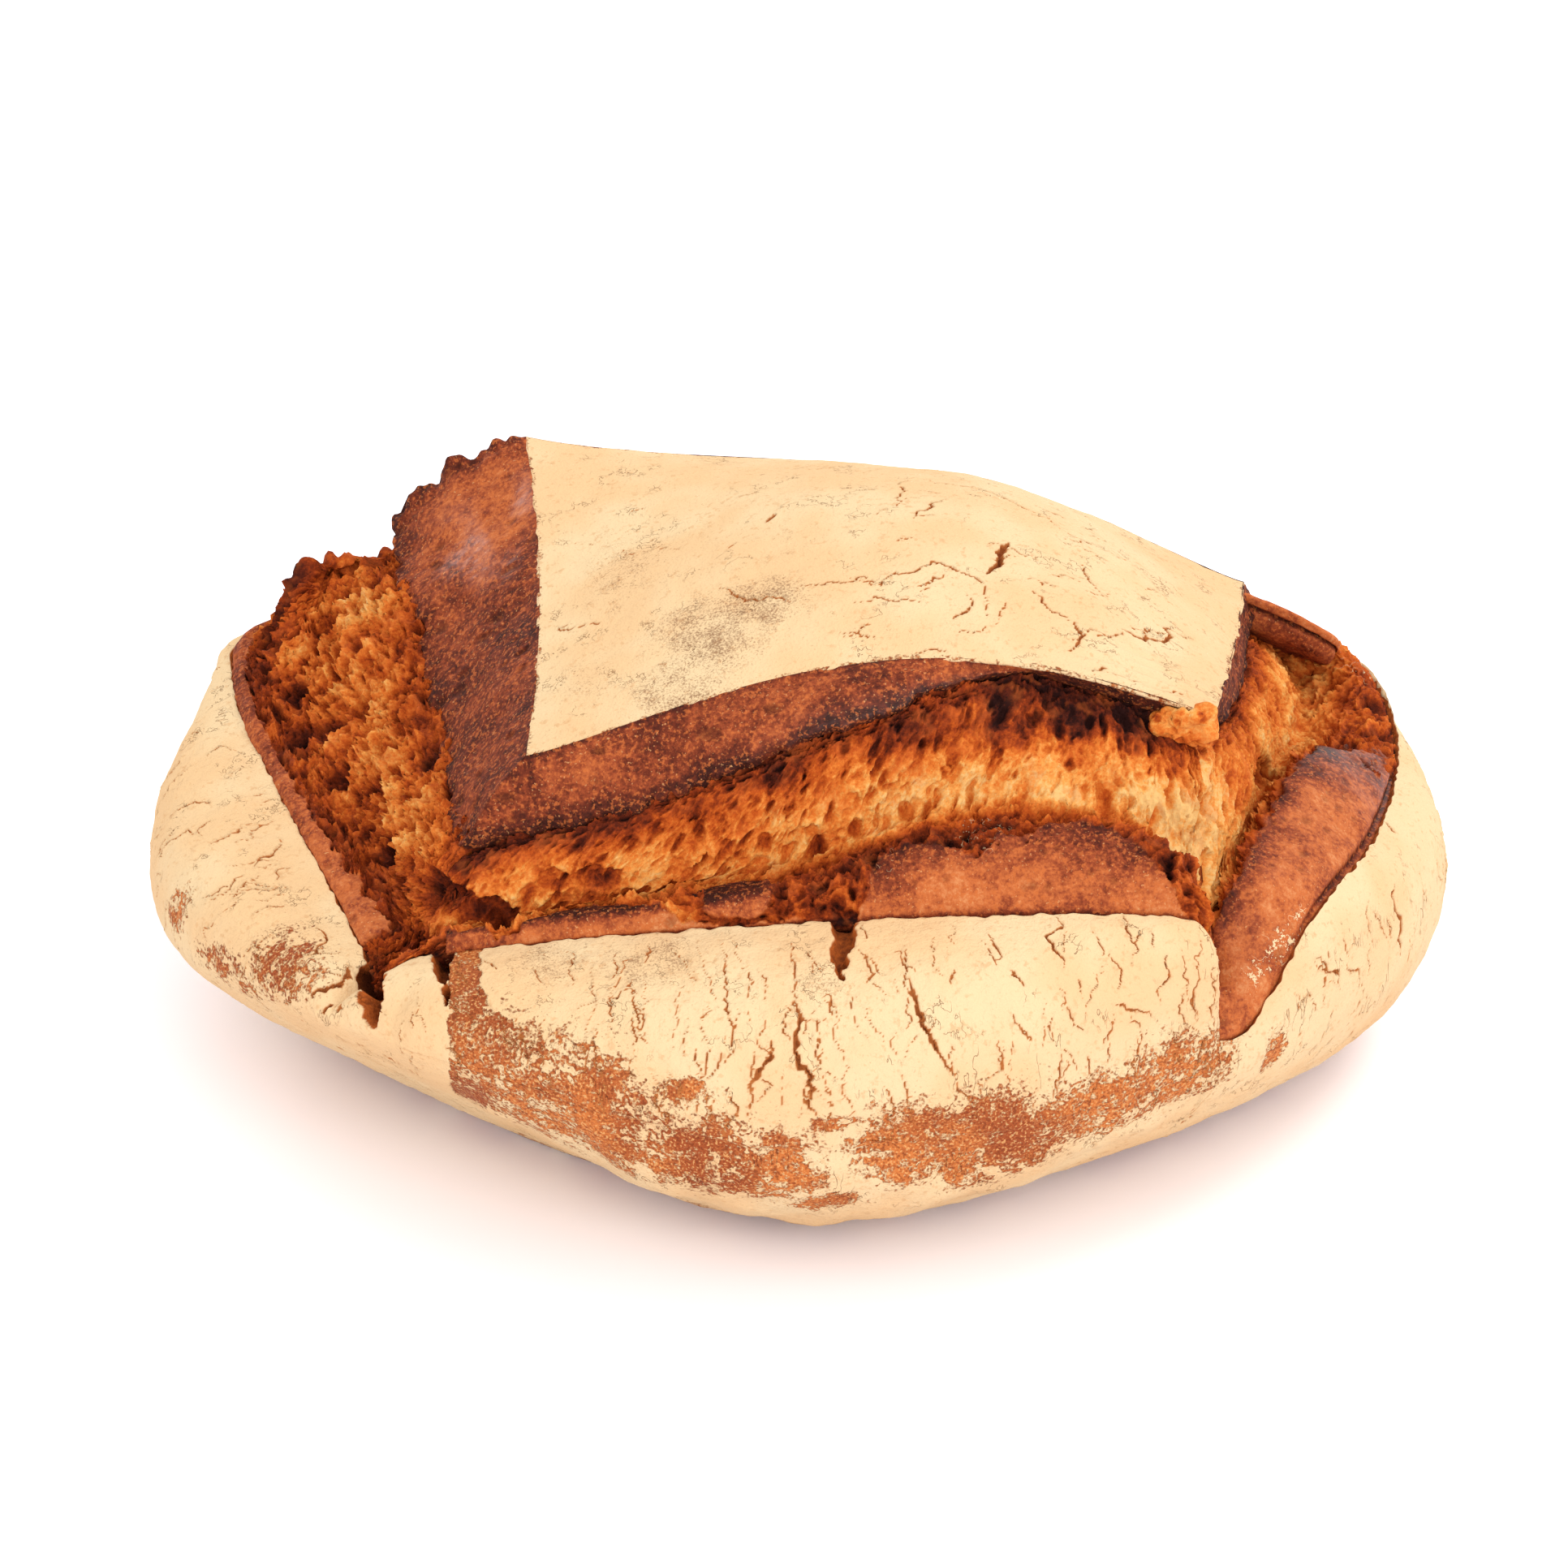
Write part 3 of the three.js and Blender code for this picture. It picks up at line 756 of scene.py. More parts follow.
def crumb_relief(chart, wall, gritty):
    """Torn crumb: lumps, crooked ridges (1 - 1.5 |ripple|)^2 of four sizes and pores.

    Where wall is 1 ridges and pores are drawn out twice as long up the slash, with finer strands
    three times as long; where gritty is 1 the small ridges stand higher. Gives the height, how far
    up a ridge a point is, and how far in a pore.
    """
    sway = np.stack([rolling(chart, 9, 2, salt) for salt in (40, 41, 42)], -1)
    shake = np.stack([ripple(chart, 1.9, salt) for salt in (43, 44, 45)], -1)
    warp = chart + 1.9 * sway + 0.45 * shake

    def ridge(points, size, salt):
        """Crooked ridges 0..1, highest where the ripple is nought."""
        return np.clip(1 - 1.5 * np.abs(ripple(points, size, salt)), 0, 1) ** 2

    strand = warp * np.array([1, 1, 0.34])
    tall = blend(warp, warp * np.array([1, 1, 0.5]) + np.array([0, 0, 14]), wall[..., None])
    coarse = 0.55 * ridge(tall, 8, 50) + 0.45 * ridge(tall, 4.4, 51)
    fine = 0.6 * ridge(tall, 2.4, 52) + 0.4 * ridge(tall, 1.3, 53)
    drawn = 0.6 * ridge(strand, 2.2, 54) + 0.4 * ridge(strand, 1.1, 55)
    open_pores = pits(tall, 3.1, 0.5, 60)
    pinholes = pits(tall, 1.6, 0.5, 61)
    lumps = 1.8 * ripple(chart, 17, 56)
    loose = (3.6 - 0.8 * gritty) * coarse + (2.0 + 1.2 * gritty) * fine - 2.2
    stretched = 1.1 * coarse + 0.8 * drawn + 0.8 * fine - 1.2
    height = lumps + blend(loose, stretched, wall) - 1.7 * open_pores - 0.6 * pinholes
    ridged = blend(0.6 * coarse + 0.4 * fine, 0.3 * coarse + 0.4 * drawn + 0.3 * fine, wall)
    hollow = np.clip(0.9 * open_pores + 0.45 * pinholes + 0.9 * ease(0.16, 0.02, ridged), 0, 1)
    return height, ridged, hollow


def crumb_marks(toast, skin=0, deep=0, fleck=0, gloss=0):
    """The values that the crumb's finish reads, each given for every point."""
    # the first mark is how far the surface is baked, together with the painted shade and painted sheen that
    # are put into it
    marks = {"skin": skin, "toast": np.clip(toast, 0, 1), "deep": deep, "fleck": fleck, "gloss": gloss}
    return {mark: values + 0 * toast for mark, values in marks.items()}


def scoop(points, hollows):
    """Depth of the deepest hollow: depth * sqrt(1 - d^2) inside an egg of the given size."""
    wobble = 0.4 * ripple(points, 3.0, 64) + 0.25 * ripple(points, 1.4, 68)
    deepest = np.zeros(points.shape[:-1])
    for x, y, z, width, stretch, depth in hollows:
        flat = ((points[..., 0] - x) ** 2 + (points[..., 1] - y) ** 2) / width**2
        upright = ((points[..., 2] - z) / (width * stretch)) ** 2
        inside = np.sqrt(np.clip(1 - flat - upright + wobble * (flat + upright < 1.4), 0, 1))
        deepest = np.maximum(deepest, depth * inside)
    return deepest


def skin_field(t, place, grid):
    """1 where the browned skin is whole, 0 where crumb is torn open, by station and side."""
    x = grid[..., 0]
    edge = 0.26 * rolling(grid, 5, 3, 70) + 0.1 * ripple(grid, 1.3, 71)
    front = (t < 1) * 1.0
    heights = np.array(FRONT_SKIN)
    top = np.interp(x, heights[:, 0], heights[:, 1])
    whole_front = ease(-0.05, 0.05, top + edge - place)
    floating = 1 - ((x + 13) / 8.5) ** 2 - ((place - 2.6) / 1.35) ** 2 + 2 * edge
    whole_front = np.maximum(whole_front, ease(-0.1, 0.1, floating))
    left = ease(3.0, 3.1, t)
    on_band = ease(-0.05, 0.05, 3.1 - 0.35 * left + (1 + 0.8 * left) * edge - place)
    ear_end = 1.74 - 0.05 * place + 0.26 * edge
    inner = 3.1 + 1.1 * ease(1.1, 1.0, t)
    on_ear = ease(-0.06, 0.06, inner + edge - place) * ease(-0.004, 0.004, ear_end - t)
    right = ((t >= 1) & (t < 2)) * 1.0
    other = (t >= 2) * ease(2.04, 2.05, t + 0.02 * edge)
    tear = ease(3.925, 3.935, t + 0.03 * edge)
    skin = front * whole_front + right * on_ear + other * on_band * (1 - tear)
    return np.clip(skin, 0, 1)


def toast_field(t, place, grid, skin):
    """How dark the surface is coloured, 0 pale crumb to 1 near black, by station and side: mostly how far it
    is baked, with painted shade where the crumb runs in under the lid's skirt and beside the ear's inner
    edge.
    """
    x = grid[..., 0]
    front = (t < 1) * 1.0
    left = (t > 3) * 1.0
    right = ((t >= 1) & (t < 2)) * 1.0
    back = 1 - front - left - right
    cloud = rolling(grid, 13, 2, 80)
    # painted shade: the front crumb is coloured darker towards the lid's skirt, where it runs in under the
    # lid
    shade_under_lid = ease(5.9, 7.7, place + 0.6 * ease(5, 35, x))
    front_crumb = blend(0.29, 0.78, shade_under_lid**1.3) - 0.15 * ease(-20, 50, x)
    # painted shade: a darker patch right under the lid's front edge, over its right half
    shaded = ease(22, 46, x) * (1 - ease(80, 88, x)) * ease(5.6, 7.0, place + 0.35 * cloud)
    front_crumb = np.maximum(front_crumb, 0.9 * shaded)
    ledge = blend(0.36, 0.54, ease(-60, 30, x)) + 0.1 * ease(4.4, 2.5, place)
    ledge = np.where(x < -74, 0.6, ledge) - 0.2 * ease(76, 84, x)
    front_crumb = blend(ledge, front_crumb, ease(3.9, 4.8, place))
    # the last term is painted shade next to the lid's skirt
    left_crumb = blend(0.62, 0.34, ease(3.4, 6.6, place)) + 0.22 * ease(7.0, 8, place)
    left_crumb = np.maximum(left_crumb, 0.62 * ease(3.9, 3.96, t) * ease(3.2, 2.4, place))
    # painted shade: darker next to the lid's skirt, and in a strip beside the ear's inner edge
    right_crumb = blend(0.18, 0.3, ease(1.08, 1.3, t)) + 0.45 * ease(6.6, 8, place)
    right_crumb = right_crumb + 0.25 * ease(4.6, 3.4, place)
    crumb = front * front_crumb + left * left_crumb + right * right_crumb + back * 0.4
    web = bell({"at": 0.95, "width": 0.1}, t) * ease(4.4, 5.0, place) * ease(7.4, 6.6, place)
    crumb = crumb - 0.22 * web + 0.15 * bell({"at": 1.0, "width": 0.07}, t) * ease(4.7, 4.2, place)
    rise = ease(1.1, 3.0, place)
    front_shell = 0.28 + 0.5 * rise**1.2 + 0.35 * ease(-5, -12, x) * ease(1.6, 2.2, place)
    front_shell = np.maximum(front_shell, 0.55 * (x < -62))
    inner = 3.1 + 1.1 * ease(1.1, 1.0, t)
    right_shell = 0.31 + 0.4 * ease(inner - 1.0, inner, place) + 0.28 * ease(1.4, 1.6, t)
    left_shell = blend(0.54, 0.32, ease(3.3, 3.7, t))
    shell = front * front_shell + right * right_shell + left * left_shell + back * 0.5
    return blend(crumb, shell, skin) + 0.16 * cloud


# ---- Lid: the brown flank with its torn edge, the floured top and the crumb at its corner ----
FLANK_COLUMNS = [480, 190, 170, 400]  # round each side of the lid
FLANK_ROWS = 58


def flank_toast(t, place, grid):
    """How dark the skirt is coloured: baked darkest at its torn edge; darker next to the lid, but on the
    left, as painted shade under the lid's edge; lighter high on the left side as a painted sheen.
    """
    left = ease(2.9, 3.05, t)
    front = ease(0.03, 0.06, t) * (1 - ease(0.97, 1, t))
    # painted sheen: the top of the left side is coloured lighter
    painted_sheen_top = bell({"at": 3.14, "width": 0.16}, t) * ease(0.1, 0.5, place)
    # the darkening next to the lid, all but on the left, is painted shade under the lid's overhanging edge
    toast = 0.64 + (0.26 - 0.12 * left) * ease(0.2, 0.02, place) + 0.22 * ease(0.88, 1.0, place) * (1 - left)
    toast = toast + 0.15 * ease(1.0, 1.05, t) * (1 - left) - 0.06 * front * ease(0.1, 0.5, place)
    toast = toast + left * 0.06 * ease(3.2, 3.4, t) - 0.26 * painted_sheen_top
    return toast + 0.16 * rolling(grid, 15, 2, 97)


def flank_piece():
    """The lid's brown skirt: lid edge to ragged torn edge, turned under and closed inside."""
    sides = enumerate(FLANK_COLUMNS)
    t = np.concatenate([np.linspace(side, side + 1, count, endpoint=False) for side, count in sides])
    edge = on_ring(LID, t)
    flank = edge + around(FLANK_FROM_LID, t / 4)
    _, out = heading(flank, (15, 5))
    width = np.linalg.norm(flank - edge, axis=1)[:, None]
    away = (flank - edge) / width
    left = ease(2.9, 3.05, t)
    lobes = 2.6 * np.abs(ripple(flank, 5.5, 91)) - 0.8
    teeth = (1.7 + 0.9 * left) * ripple(flank, 13, 90) + lobes + 0.35 * ripple(flank, 2.1, 92)
    torn = flank + away * np.clip(width / 12, 0.25, 1.4) * (teeth * (0.75 + 0.5 * left))[:, None]
    rows = [torn - out * inward - UP * drop for inward, drop in ((16, 2), (6, 2.4), (2.5, 1.7), (0.7, 1.1))]
    places = np.linspace(0, 1, FLANK_ROWS)
    crest = CREST["height"] * bell(CREST, t)[:, None]
    behind = (ease(1.95, 2.1, t) * ease(2.95, 2.8, t))[:, None]
    for s in places:
        bulge = (1.6 * ease(4, 11, width) * (1 - behind) + crest) * 4 * s * (1 - s) + 0.6 * math.exp(-9 * s)
        rows.append(blend(torn, edge, s) + UP * bulge)
    grid = np.array(rows)
    place = np.concatenate([[-4, -3, -2, -1], places])[:, None] + 0 * grid[..., 0]
    ridge = bell({"at": CREST["at"], "width": 0.03}, t) * ease(-0.5, 0.1, place) * ease(1.0, 0.9, place)
    jag = 1.2 + 2.6 * ripple(grid * np.array([1, 0.3, 1]), 7, 120) + 1.6 * ripple(grid, 2.8, 121)
    grid = grid + (0.8 * UP + np.array([-0.4, 0.3, 0])) * (ridge * jag)[..., None]
    streaks = grid * np.array([1.0, 0.5, 1.0])
    hang = ease(1, 0.85, place) * ease(-2.5, -0.5, place) * np.clip(width[:, 0] / 12, 0.2, 1)
    relief = 1.1 * ripple(grid, 17, 94) + 0.55 * ripple(streaks, 6, 95) + 0.2 * ripple(grid, 2.2, 96)
    blisters = pits(grid * np.array([0.5, 1, 1]), 3.4, 0.1, 98)
    curl = 1.0 * ease(0.25, 0, place) * ease(-1.5, 0, place) * ripple(grid, 7, 93)
    relief = (relief - 0.6 * blisters - 0.9 * behind[:, 0]) * hang + curl
    grid = grid + normals_of(grid) * relief[..., None]
    shiny = bell({"at": 3.2, "width": 0.15}, t) * ease(3.04, 3.14, t) * ease(0.1, 0.5, place)
    shiny = shiny * ease(-0.2, 0.5, ripple(streaks, 9, 99))
    shiny = shiny + 0.5 * bell({"at": 0.52, "width": 0.16}, t) * ease(0.5, 0.1, place)
    toast = flank_toast(t, place, grid) + 0.25 * ridge
    # painted shade: the blisters are coloured darker through the deep mark
    marks = crumb_marks(toast, skin=1, deep=0.9 * blisters, gloss=shiny)
    grid, marks = closed_below(grid, marks, edge - out * 5 - UP * 4, edge - out * 22 - UP * 8)
    return strip_solid("lid_flank", grid, marks, True)


# the chief cracks of the lid: (x, y) places, width
LID_CRACKS = [
    ([(70, -24), (75, -24), (80, -19), (87, -9)], 1.1),
    ([(41, -19), (44, -10), (46, -5)], 1.9),
    ([(25, 0), (29, 6), (33, 12)], 0.9),
    ([(57, -38), (61, -32), (60, -28)], 1.1),
    ([(50, -21), (53, -25), (59, -29)], 0.7),
    ([(36, -26), (36, -31), (33, -33)], 0.8),
    ([(11, -20), (18, -23), (20, -20), (29, -16), (34, -18), (40, -26), (43, -34)], 0.6),
    ([(62, -1), (63, -8), (66, -13)], 0.6),
    ([(-17, -13), (-14, -18), (-9, -22), (-1, -25)], 0.7),
    ([(2, -21), (8, -21), (13, -20), (17, -23)], 0.6),
    ([(-39, 13), (-33, 9), (-25, 6)], 0.5),
    ([(-53, -8), (-43, -13)], 0.6),
    ([(-7, 7), (-5, 10)], 1.2),
    ([(12, -28), (20, -28), (27, -29)], 0.5),
    ([(63, -44), (66, -40)], 0.9),
    ([(22, 6), (24, 16), (26, 27)], 0.6),
    ([(26, 27), (38, 22), (52, 15), (64, 8)], 0.5),
]
LID_GREY = [
    (-21, -30, 116, 19, 10, 0.8), (-40, 2, 114, 22, 8, 0.5), (-9, -24, 121, 13, 6, 0.85),
    (-26, -44, 109, 15, 6, 0.75), (-46, -31, 106, 12, 7, 0.5), (-8, -6, 125, 16, 6, 0.4),
]


LID_MIDDLE = np.array([18.0, 4.0, 90.0])  # the point under the lid to which its edge closes
LID_GRID = 250, 340  # rows, columns
LID_SPAN = 150, 105  # about how wide and deep the lid is
# rings of the lid's edge as it turns down: outward, down
LID_EDGE = [(0.35, 0.3), (0.3, 0.8), (-1.2, 1.1), (-8, 2.4)]


def sheet_solid(name, grid, marks, away):
    """A four-sided sheet whose edge turns down and in, closed to one point under its middle."""
    rows, columns = grid.shape[:2]
    faces = grid_faces(rows, columns, False, False).tolist()
    index = np.arange(rows * columns).reshape(rows, columns)
    loop = np.concatenate([index[0, :-1], index[:-1, -1], index[-1, :0:-1], index[:0:-1, 0]])
    flat = grid.reshape(-1, 3)
    away = away.reshape(-1, 3)[loop]
    rings = [flat[loop] + away * outward - UP * drop for outward, drop in LID_EDGE]
    points = np.concatenate([flat, *rings, LID_MIDDLE[None]])
    previous = loop
    for k in range(len(rings)):
        ring = rows * columns + k * len(loop) + np.arange(len(loop))
        faces += np.stack([previous, ring, np.roll(ring, -1), np.roll(previous, -1)], -1).tolist()
        previous = ring
    pole = len(points) - 1
    faces += [[int(a), pole, int(b)] for a, b in zip(previous, np.roll(previous, -1))]
    for mark, values in marks.items():
        values = values.reshape(-1)
        marks[mark] = np.concatenate([values] + [values[loop]] * len(rings) + [[0.0]])
    return add_mesh(name, points, faces, marks, SHARP_CRUST)


def lid_piece():
    """The floured top: a fine u, v grid over the Coons patch, cracked, wrinkled and frayed."""
    rows, columns = LID_GRID
    u = np.linspace(0, 1, columns)[None, :] + np.zeros((rows, 1))
    v = np.linspace(0, 1, rows)[:, None] + np.zeros((1, columns))
    grid = on_lid(u.reshape(-1), v.reshape(-1)).reshape(rows, columns, 3)
    normal = normals_of(grid)
    normal *= np.sign(normal[..., 2:])
    x, y = grid[..., 0], grid[..., 1]
    rng = np.random.default_rng(41)
    splits = [split_line(rng, points, width) for points, width in LID_CRACKS]
    splits += strewn_splits(rng, 44, (0, 92), (-44, 40), length=(3, 10), lean=1.2, width=(0.35, 0.6))
    splits += strewn_splits(rng, 8, (-55, 5), (-42, 30), length=(2, 6), lean=1.3, width=(0.3, 0.45))
    jag_x, jag_y = 0.3 * ripple(grid, 1.6, 17), 0.3 * ripple(grid, 1.6, 18)
    crack, half_width = cut_splits(x + jag_x, y + jag_y, splits)
    lifted, _ = cut_splits(x, y, splits, LIFT_WIDEN)
    rim = np.minimum(np.minimum(u, 1 - u) * LID_SPAN[0], np.minimum(v, 1 - v) * LID_SPAN[1])
    swell = 0.9 * ripple(grid, 30, 101) + 0.4 * ripple(grid, 12, 102) + 0.12 * rolling(grid, 4, 2, 103)
    relief = swell * (0.15 + 0.85 * ease(0, 9, rim)) + 0.25 * ease(0, 1, lifted) * (1 - crack)
    crack = crack * ease(0.3, 2.0, rim)
    relief = relief - np.clip(1.9 * half_width, 0.3, 1.6) * ease(0, 0.75, crack)
    wrinkle = np.exp(-(((x - 76) / 14) ** 2) - ((y + 38) / 8) ** 2)
    relief = relief + 0.3 * wrinkle * np.sin(y * 1.7 + 3.0 * ripple(grid, 12, 104))
    grid = grid + normal * relief[..., None]
    frayed = (0.5 * ripple(grid, 7, 105) + 0.2 * ripple(grid, 2.4, 106)) * ease(2.5, 0, rim)
    away = (grid - LID_MIDDLE) * np.array([1, 1, 0])
    away /= np.maximum(np.linalg.norm(away, axis=-1, keepdims=True), 1)
    grid = grid + away * frayed[..., None]
    marks = {
        "flour": 1 - 0.3 * ease(1.5, 0, rim),
        "crack": ease(0, 0.6, crack) * np.clip(0.35 + 0.6 * half_width, 0, 1),
        "grey": patches(grid, LID_GREY),
        "tear": 0 * rim,
    }
    return sheet_solid("lid_top", grid, marks, away)


def closed_blob(name, middle, size, squareness, rows, columns, shaper):
    """Superellipsoid: cos and sin of both angles raised to squareness, shaped by shaper.

    The rows lie at heights sin(h), h evenly spaced, so a square side has rows all the way up.
    """
    bearing = np.linspace(0, 2 * PI, columns, endpoint=False)[None, :]
    level = np.sin(np.linspace(-PI / 2, PI / 2, rows + 2)[1:-1])[:, None]
    height = np.sign(level) * np.arcsin(np.abs(level) ** (1 / squareness))

    def power(value):
        """value raised to squareness, its sign kept."""
        return np.sign(value) * np.abs(value) ** squareness

    flat = power(np.cos(height))
    ball = np.stack([
        flat * power(np.cos(bearing)),
        flat * power(np.sin(bearing)),
        power(np.sin(height)) + 0 * bearing,
    ], -1)
    grid, marks = shaper(np.array(middle) + ball * np.array(size), ball)
    faces = grid_faces(rows, columns, False, True).tolist() + pole_fans(rows, columns, True)
    points = np.concatenate([grid.reshape(-1, 3), [grid[0].mean(0), grid[-1].mean(0)]])
    flat_marks = {mark: np.append(v.reshape(-1), [v[0, 0], v[-1, 0]]) for mark, v in marks.items()}
    return add_mesh(name, points, faces, flat_marks, SHARP_CRUMB)


TAB_MIDDLE, TAB_SIZE = (82.5, -46.5, 102.5), (6.5, 3.2, 4.2)
TAB_SLOPE = 0.16  # how much lower its underside gets to the right
BAR_START, BAR_END = np.array([96.0, 42.0, 84.4]), np.array([123.8, 42.5, 70.9])


def tab_piece():
    """Crumb left hanging under the lid's front right corner: a lumpy wedge, narrower below."""

    def shaper(grid, ball):
        """Hangs the wedge, makes it lumpy and bakes it."""
        along = grid[..., 0]
        grid = grid - UP * (TAB_SLOPE * (along - 82) * (ball[..., 2] < 0))[..., None]
        lumpy = 1.9 * ripple(grid, 5, 110) + 1.5 * np.abs(ripple(grid, 2.6, 111)) - pits(grid, 2.4, 0.6, 112)
        grid = grid + ball * lumpy[..., None]
        toast = 0.26 + 0.16 * ripple(grid, 3, 113) - 0.1 * ball[..., 2]
        # painted shade: its pits are coloured darker through the deep mark
        return grid, crumb_marks(toast, deep=0.8 * pits(grid, 2.4, 0.6, 112))

    return closed_blob("lid_tab", TAB_MIDDLE, TAB_SIZE, 0.8, 70, 120, shaper)


def bar_piece():
    """Browned strip of crust at the back right: a squared bar along its length with one groove."""
    run = (BAR_END - BAR_START) / np.linalg.norm(BAR_END - BAR_START)
    rise = np.cross(run, [0, 1, 0])
    rise /= np.linalg.norm(rise) * np.sign(rise[2])

    def shaper(grid, ball):
        """Lays the blob along the bar, cuts the groove and bakes it."""
        s = ball[..., :1] * 0.5 + 0.5
        middle = blend(BAR_START, BAR_END, s) + UP * 1.2 * 4 * s * (1 - s)
        half = blend(4.6, 3.7, s)
        grid = middle + rise * ball[..., 2:] * half + np.array([0, 9, -6.5]) * (ball[..., 1:2] + 0.6)
        groove = np.exp(-(((ball[..., 2] - 0.1 - 0.08 * ripple(grid, 9, 115)) / 0.13) ** 2))
        groove = groove * (ball[..., 1] < 0)
        worn = 0.35 * ripple(grid, 6, 116) + 0.2 * ripple(grid, 2.2, 117)
        grid = grid + np.array([0, 1.0, 0]) * (1.8 * groove + worn)[..., None] + UP * 0.6 * worn[..., None]
        toast = 0.3 + 0.16 * rolling(grid, 7, 2, 118) + 0.5 * groove + 0.2 * ease(0.2, -0.3, ball[..., 2])
        return grid, crumb_marks(toast, skin=1)

    return closed_blob("bar_back_right", (0, 0, 0), (1, 1, 1), 0.3, 90, 240, shaper)


# ---- Finishes ----
class Wire:
    """A value in a node tree; arithmetic on it adds Math nodes."""

    def __init__(self, finish, socket):
        self.finish = finish
        self.socket = socket

    def math(self, operation, *values):
        """A Math node on values or wires."""
        return self.finish.node("ShaderNodeMath", {"operation": operation}, dict(enumerate(values)))

    def __add__(self, other):
        return self.math("ADD", self, other)

    def __sub__(self, other):
        return self.math("SUBTRACT", self, other)

    def __rsub__(self, other):
        return self.math("SUBTRACT", other, self)

    def __mul__(self, other):
        return self.math("MULTIPLY", self, other)

    def __abs__(self):
        return self.math("ABSOLUTE", self)

    __radd__ = __add__
    __rmul__ = __mul__

    def top(self, other):
        """The larger of the two."""
        return self.math("MAXIMUM", self, other)

    def ease(self, low, high):
        """0 at low, 1 at high and smooth between; low may be the larger."""
        if low > high:
            return 1 - self.ease(high, low)
        sockets = {"Value": self, "From Min": low, "From Max": high}
        return self.finish.node("ShaderNodeMapRange", {"interpolation_type": "SMOOTHSTEP"}, sockets)


class Finish:
    """One material under construction."""

    def __init__(self, name):
        self.material = bpy.data.materials.new(name)
        self.material.use_nodes = True
        self.tree = self.material.node_tree
        self.tree.nodes.clear()
        self.place = self.node("ShaderNodeTexCoord", out="Object")

    def node(self, kind, settings=None, sockets=None, out=0):
        """Adds a node: its settings first, then a value or a wire for each socket."""
        node = self.tree.nodes.new(kind)
        for key, value in (settings or {}).items():
            if key == "stops":
                self.set_stops(node.color_ramp, value)
            else:
                setattr(node, key, value)
        for key, value in (sockets or {}).items():
            if isinstance(value, Wire):
                self.tree.links.new(value.socket, node.inputs[key])
            else:
                node.inputs[key].default_value = value
        return Wire(self, node.outputs[out])

    @staticmethod
    def set_stops(ramp, stops):
        """Gives a colour ramp its (position, colour) stops."""
        while len(ramp.elements) < len(stops):
            ramp.elements.new(0.5)
        for element, (position, colour) in zip(ramp.elements, stops):
            element.position = position
            element.color = (*colour, 1)

    def mark(self, name):
        """A value that the mesh carries at its points."""
        return self.node("ShaderNodeAttribute", {"attribute_name": name}, out="Fac")

    def noise(self, size_mm, detail=2, roughness=0.55, stretch=(1, 1, 1), shift=0.0):
        """Noise of about 0..1 whose blobs are size_mm wide, times stretch along an axis."""
        scale = tuple(1 / s for s in stretch)
        sockets = {"Vector": self.place, "Scale": scale, "Location": (shift, shift, shift)}
        place = self.node("ShaderNodeMapping", None, sockets, "Vector")
        sockets = {"Vector": place, "Scale": 1 / (size_mm * MM), "Detail": detail, "Roughness": roughness}
        return self.node("ShaderNodeTexNoise", None, sockets)

    def mix(self, factor, a, b):
        """Colour mix from a to b."""
        a = (*a, 1) if isinstance(a, tuple) else a
        b = (*b, 1) if isinstance(b, tuple) else b
        return self.node("ShaderNodeMix", {"data_type": "RGBA"}, {0: factor, 6: a, 7: b}, 2)

    def ramp(self, value, stops):
        """Colour at value, straight between the stops."""
        return self.node("ShaderNodeValToRGB", {"stops": stops}, {"Fac": value}, "Color")

    def bump(self, height, depth_mm):
        """Normal of a relief that is depth_mm high where height is 1."""
        sockets = {"Height": height, "Distance": depth_mm * MM, "Strength": 1.0}
        return self.node("ShaderNodeBump", None, sockets, "Normal")

    def shaded(self, colour, roughness, normal, others):
        """The finished material, with any other sockets by name."""
        sockets = {"Base Color": colour, "Roughness": roughness, "Normal": normal, **others}
        return self.closed(self.node("ShaderNodeBsdfPrincipled", None, sockets, "BSDF"))

    def closed(self, shader):
        """Joins a shader to the output."""
        output = self.tree.nodes.new("ShaderNodeOutputMaterial")
        self.tree.links.new(shader.socket, output.inputs["Surface"])
        return self.material


def linear(red, green, blue):
    """Colour from 0..255 screen values to linear."""
    return tuple(
        (c / 255 / 12.92) if c / 255 <= 0.04045 else ((c / 255 + 0.055) / 1.055) ** 2.4
        for c in (red, green, blue)
    )


STUDIO_GAIN = 1.6


def tone(red, green, blue):
    """Colour that the studio's light brings back up to these screen values."""
    return tuple(value / STUDIO_GAIN for value in linear(red, green, blue))


# flour and bare crust
FLOUR = tone(253, 220, 172)
FLOUR_WARM = tone(250, 204, 150)
FLOUR_DUSTED = tone(150, 106, 74)
FLOUR_THIN = tone(222, 166, 112)
BARE_CRUST = tone(222, 128, 64)
BARE_DARK = tone(172, 84, 42)
BARE_PORE = tone(118, 54, 28)
BARE_GRAIN = tone(246, 186, 118)
CRACK_THIN = tone(220, 138, 74)
CRACK_DEEP = tone(150, 70, 30)
# painted shade colour for the inside of pores, blisters and pits
PORE_SHADE = tone(66, 28, 16)
TEAR_FACE = tone(196, 100, 40)
TEAR_FLOOR = tone(104, 48, 24)
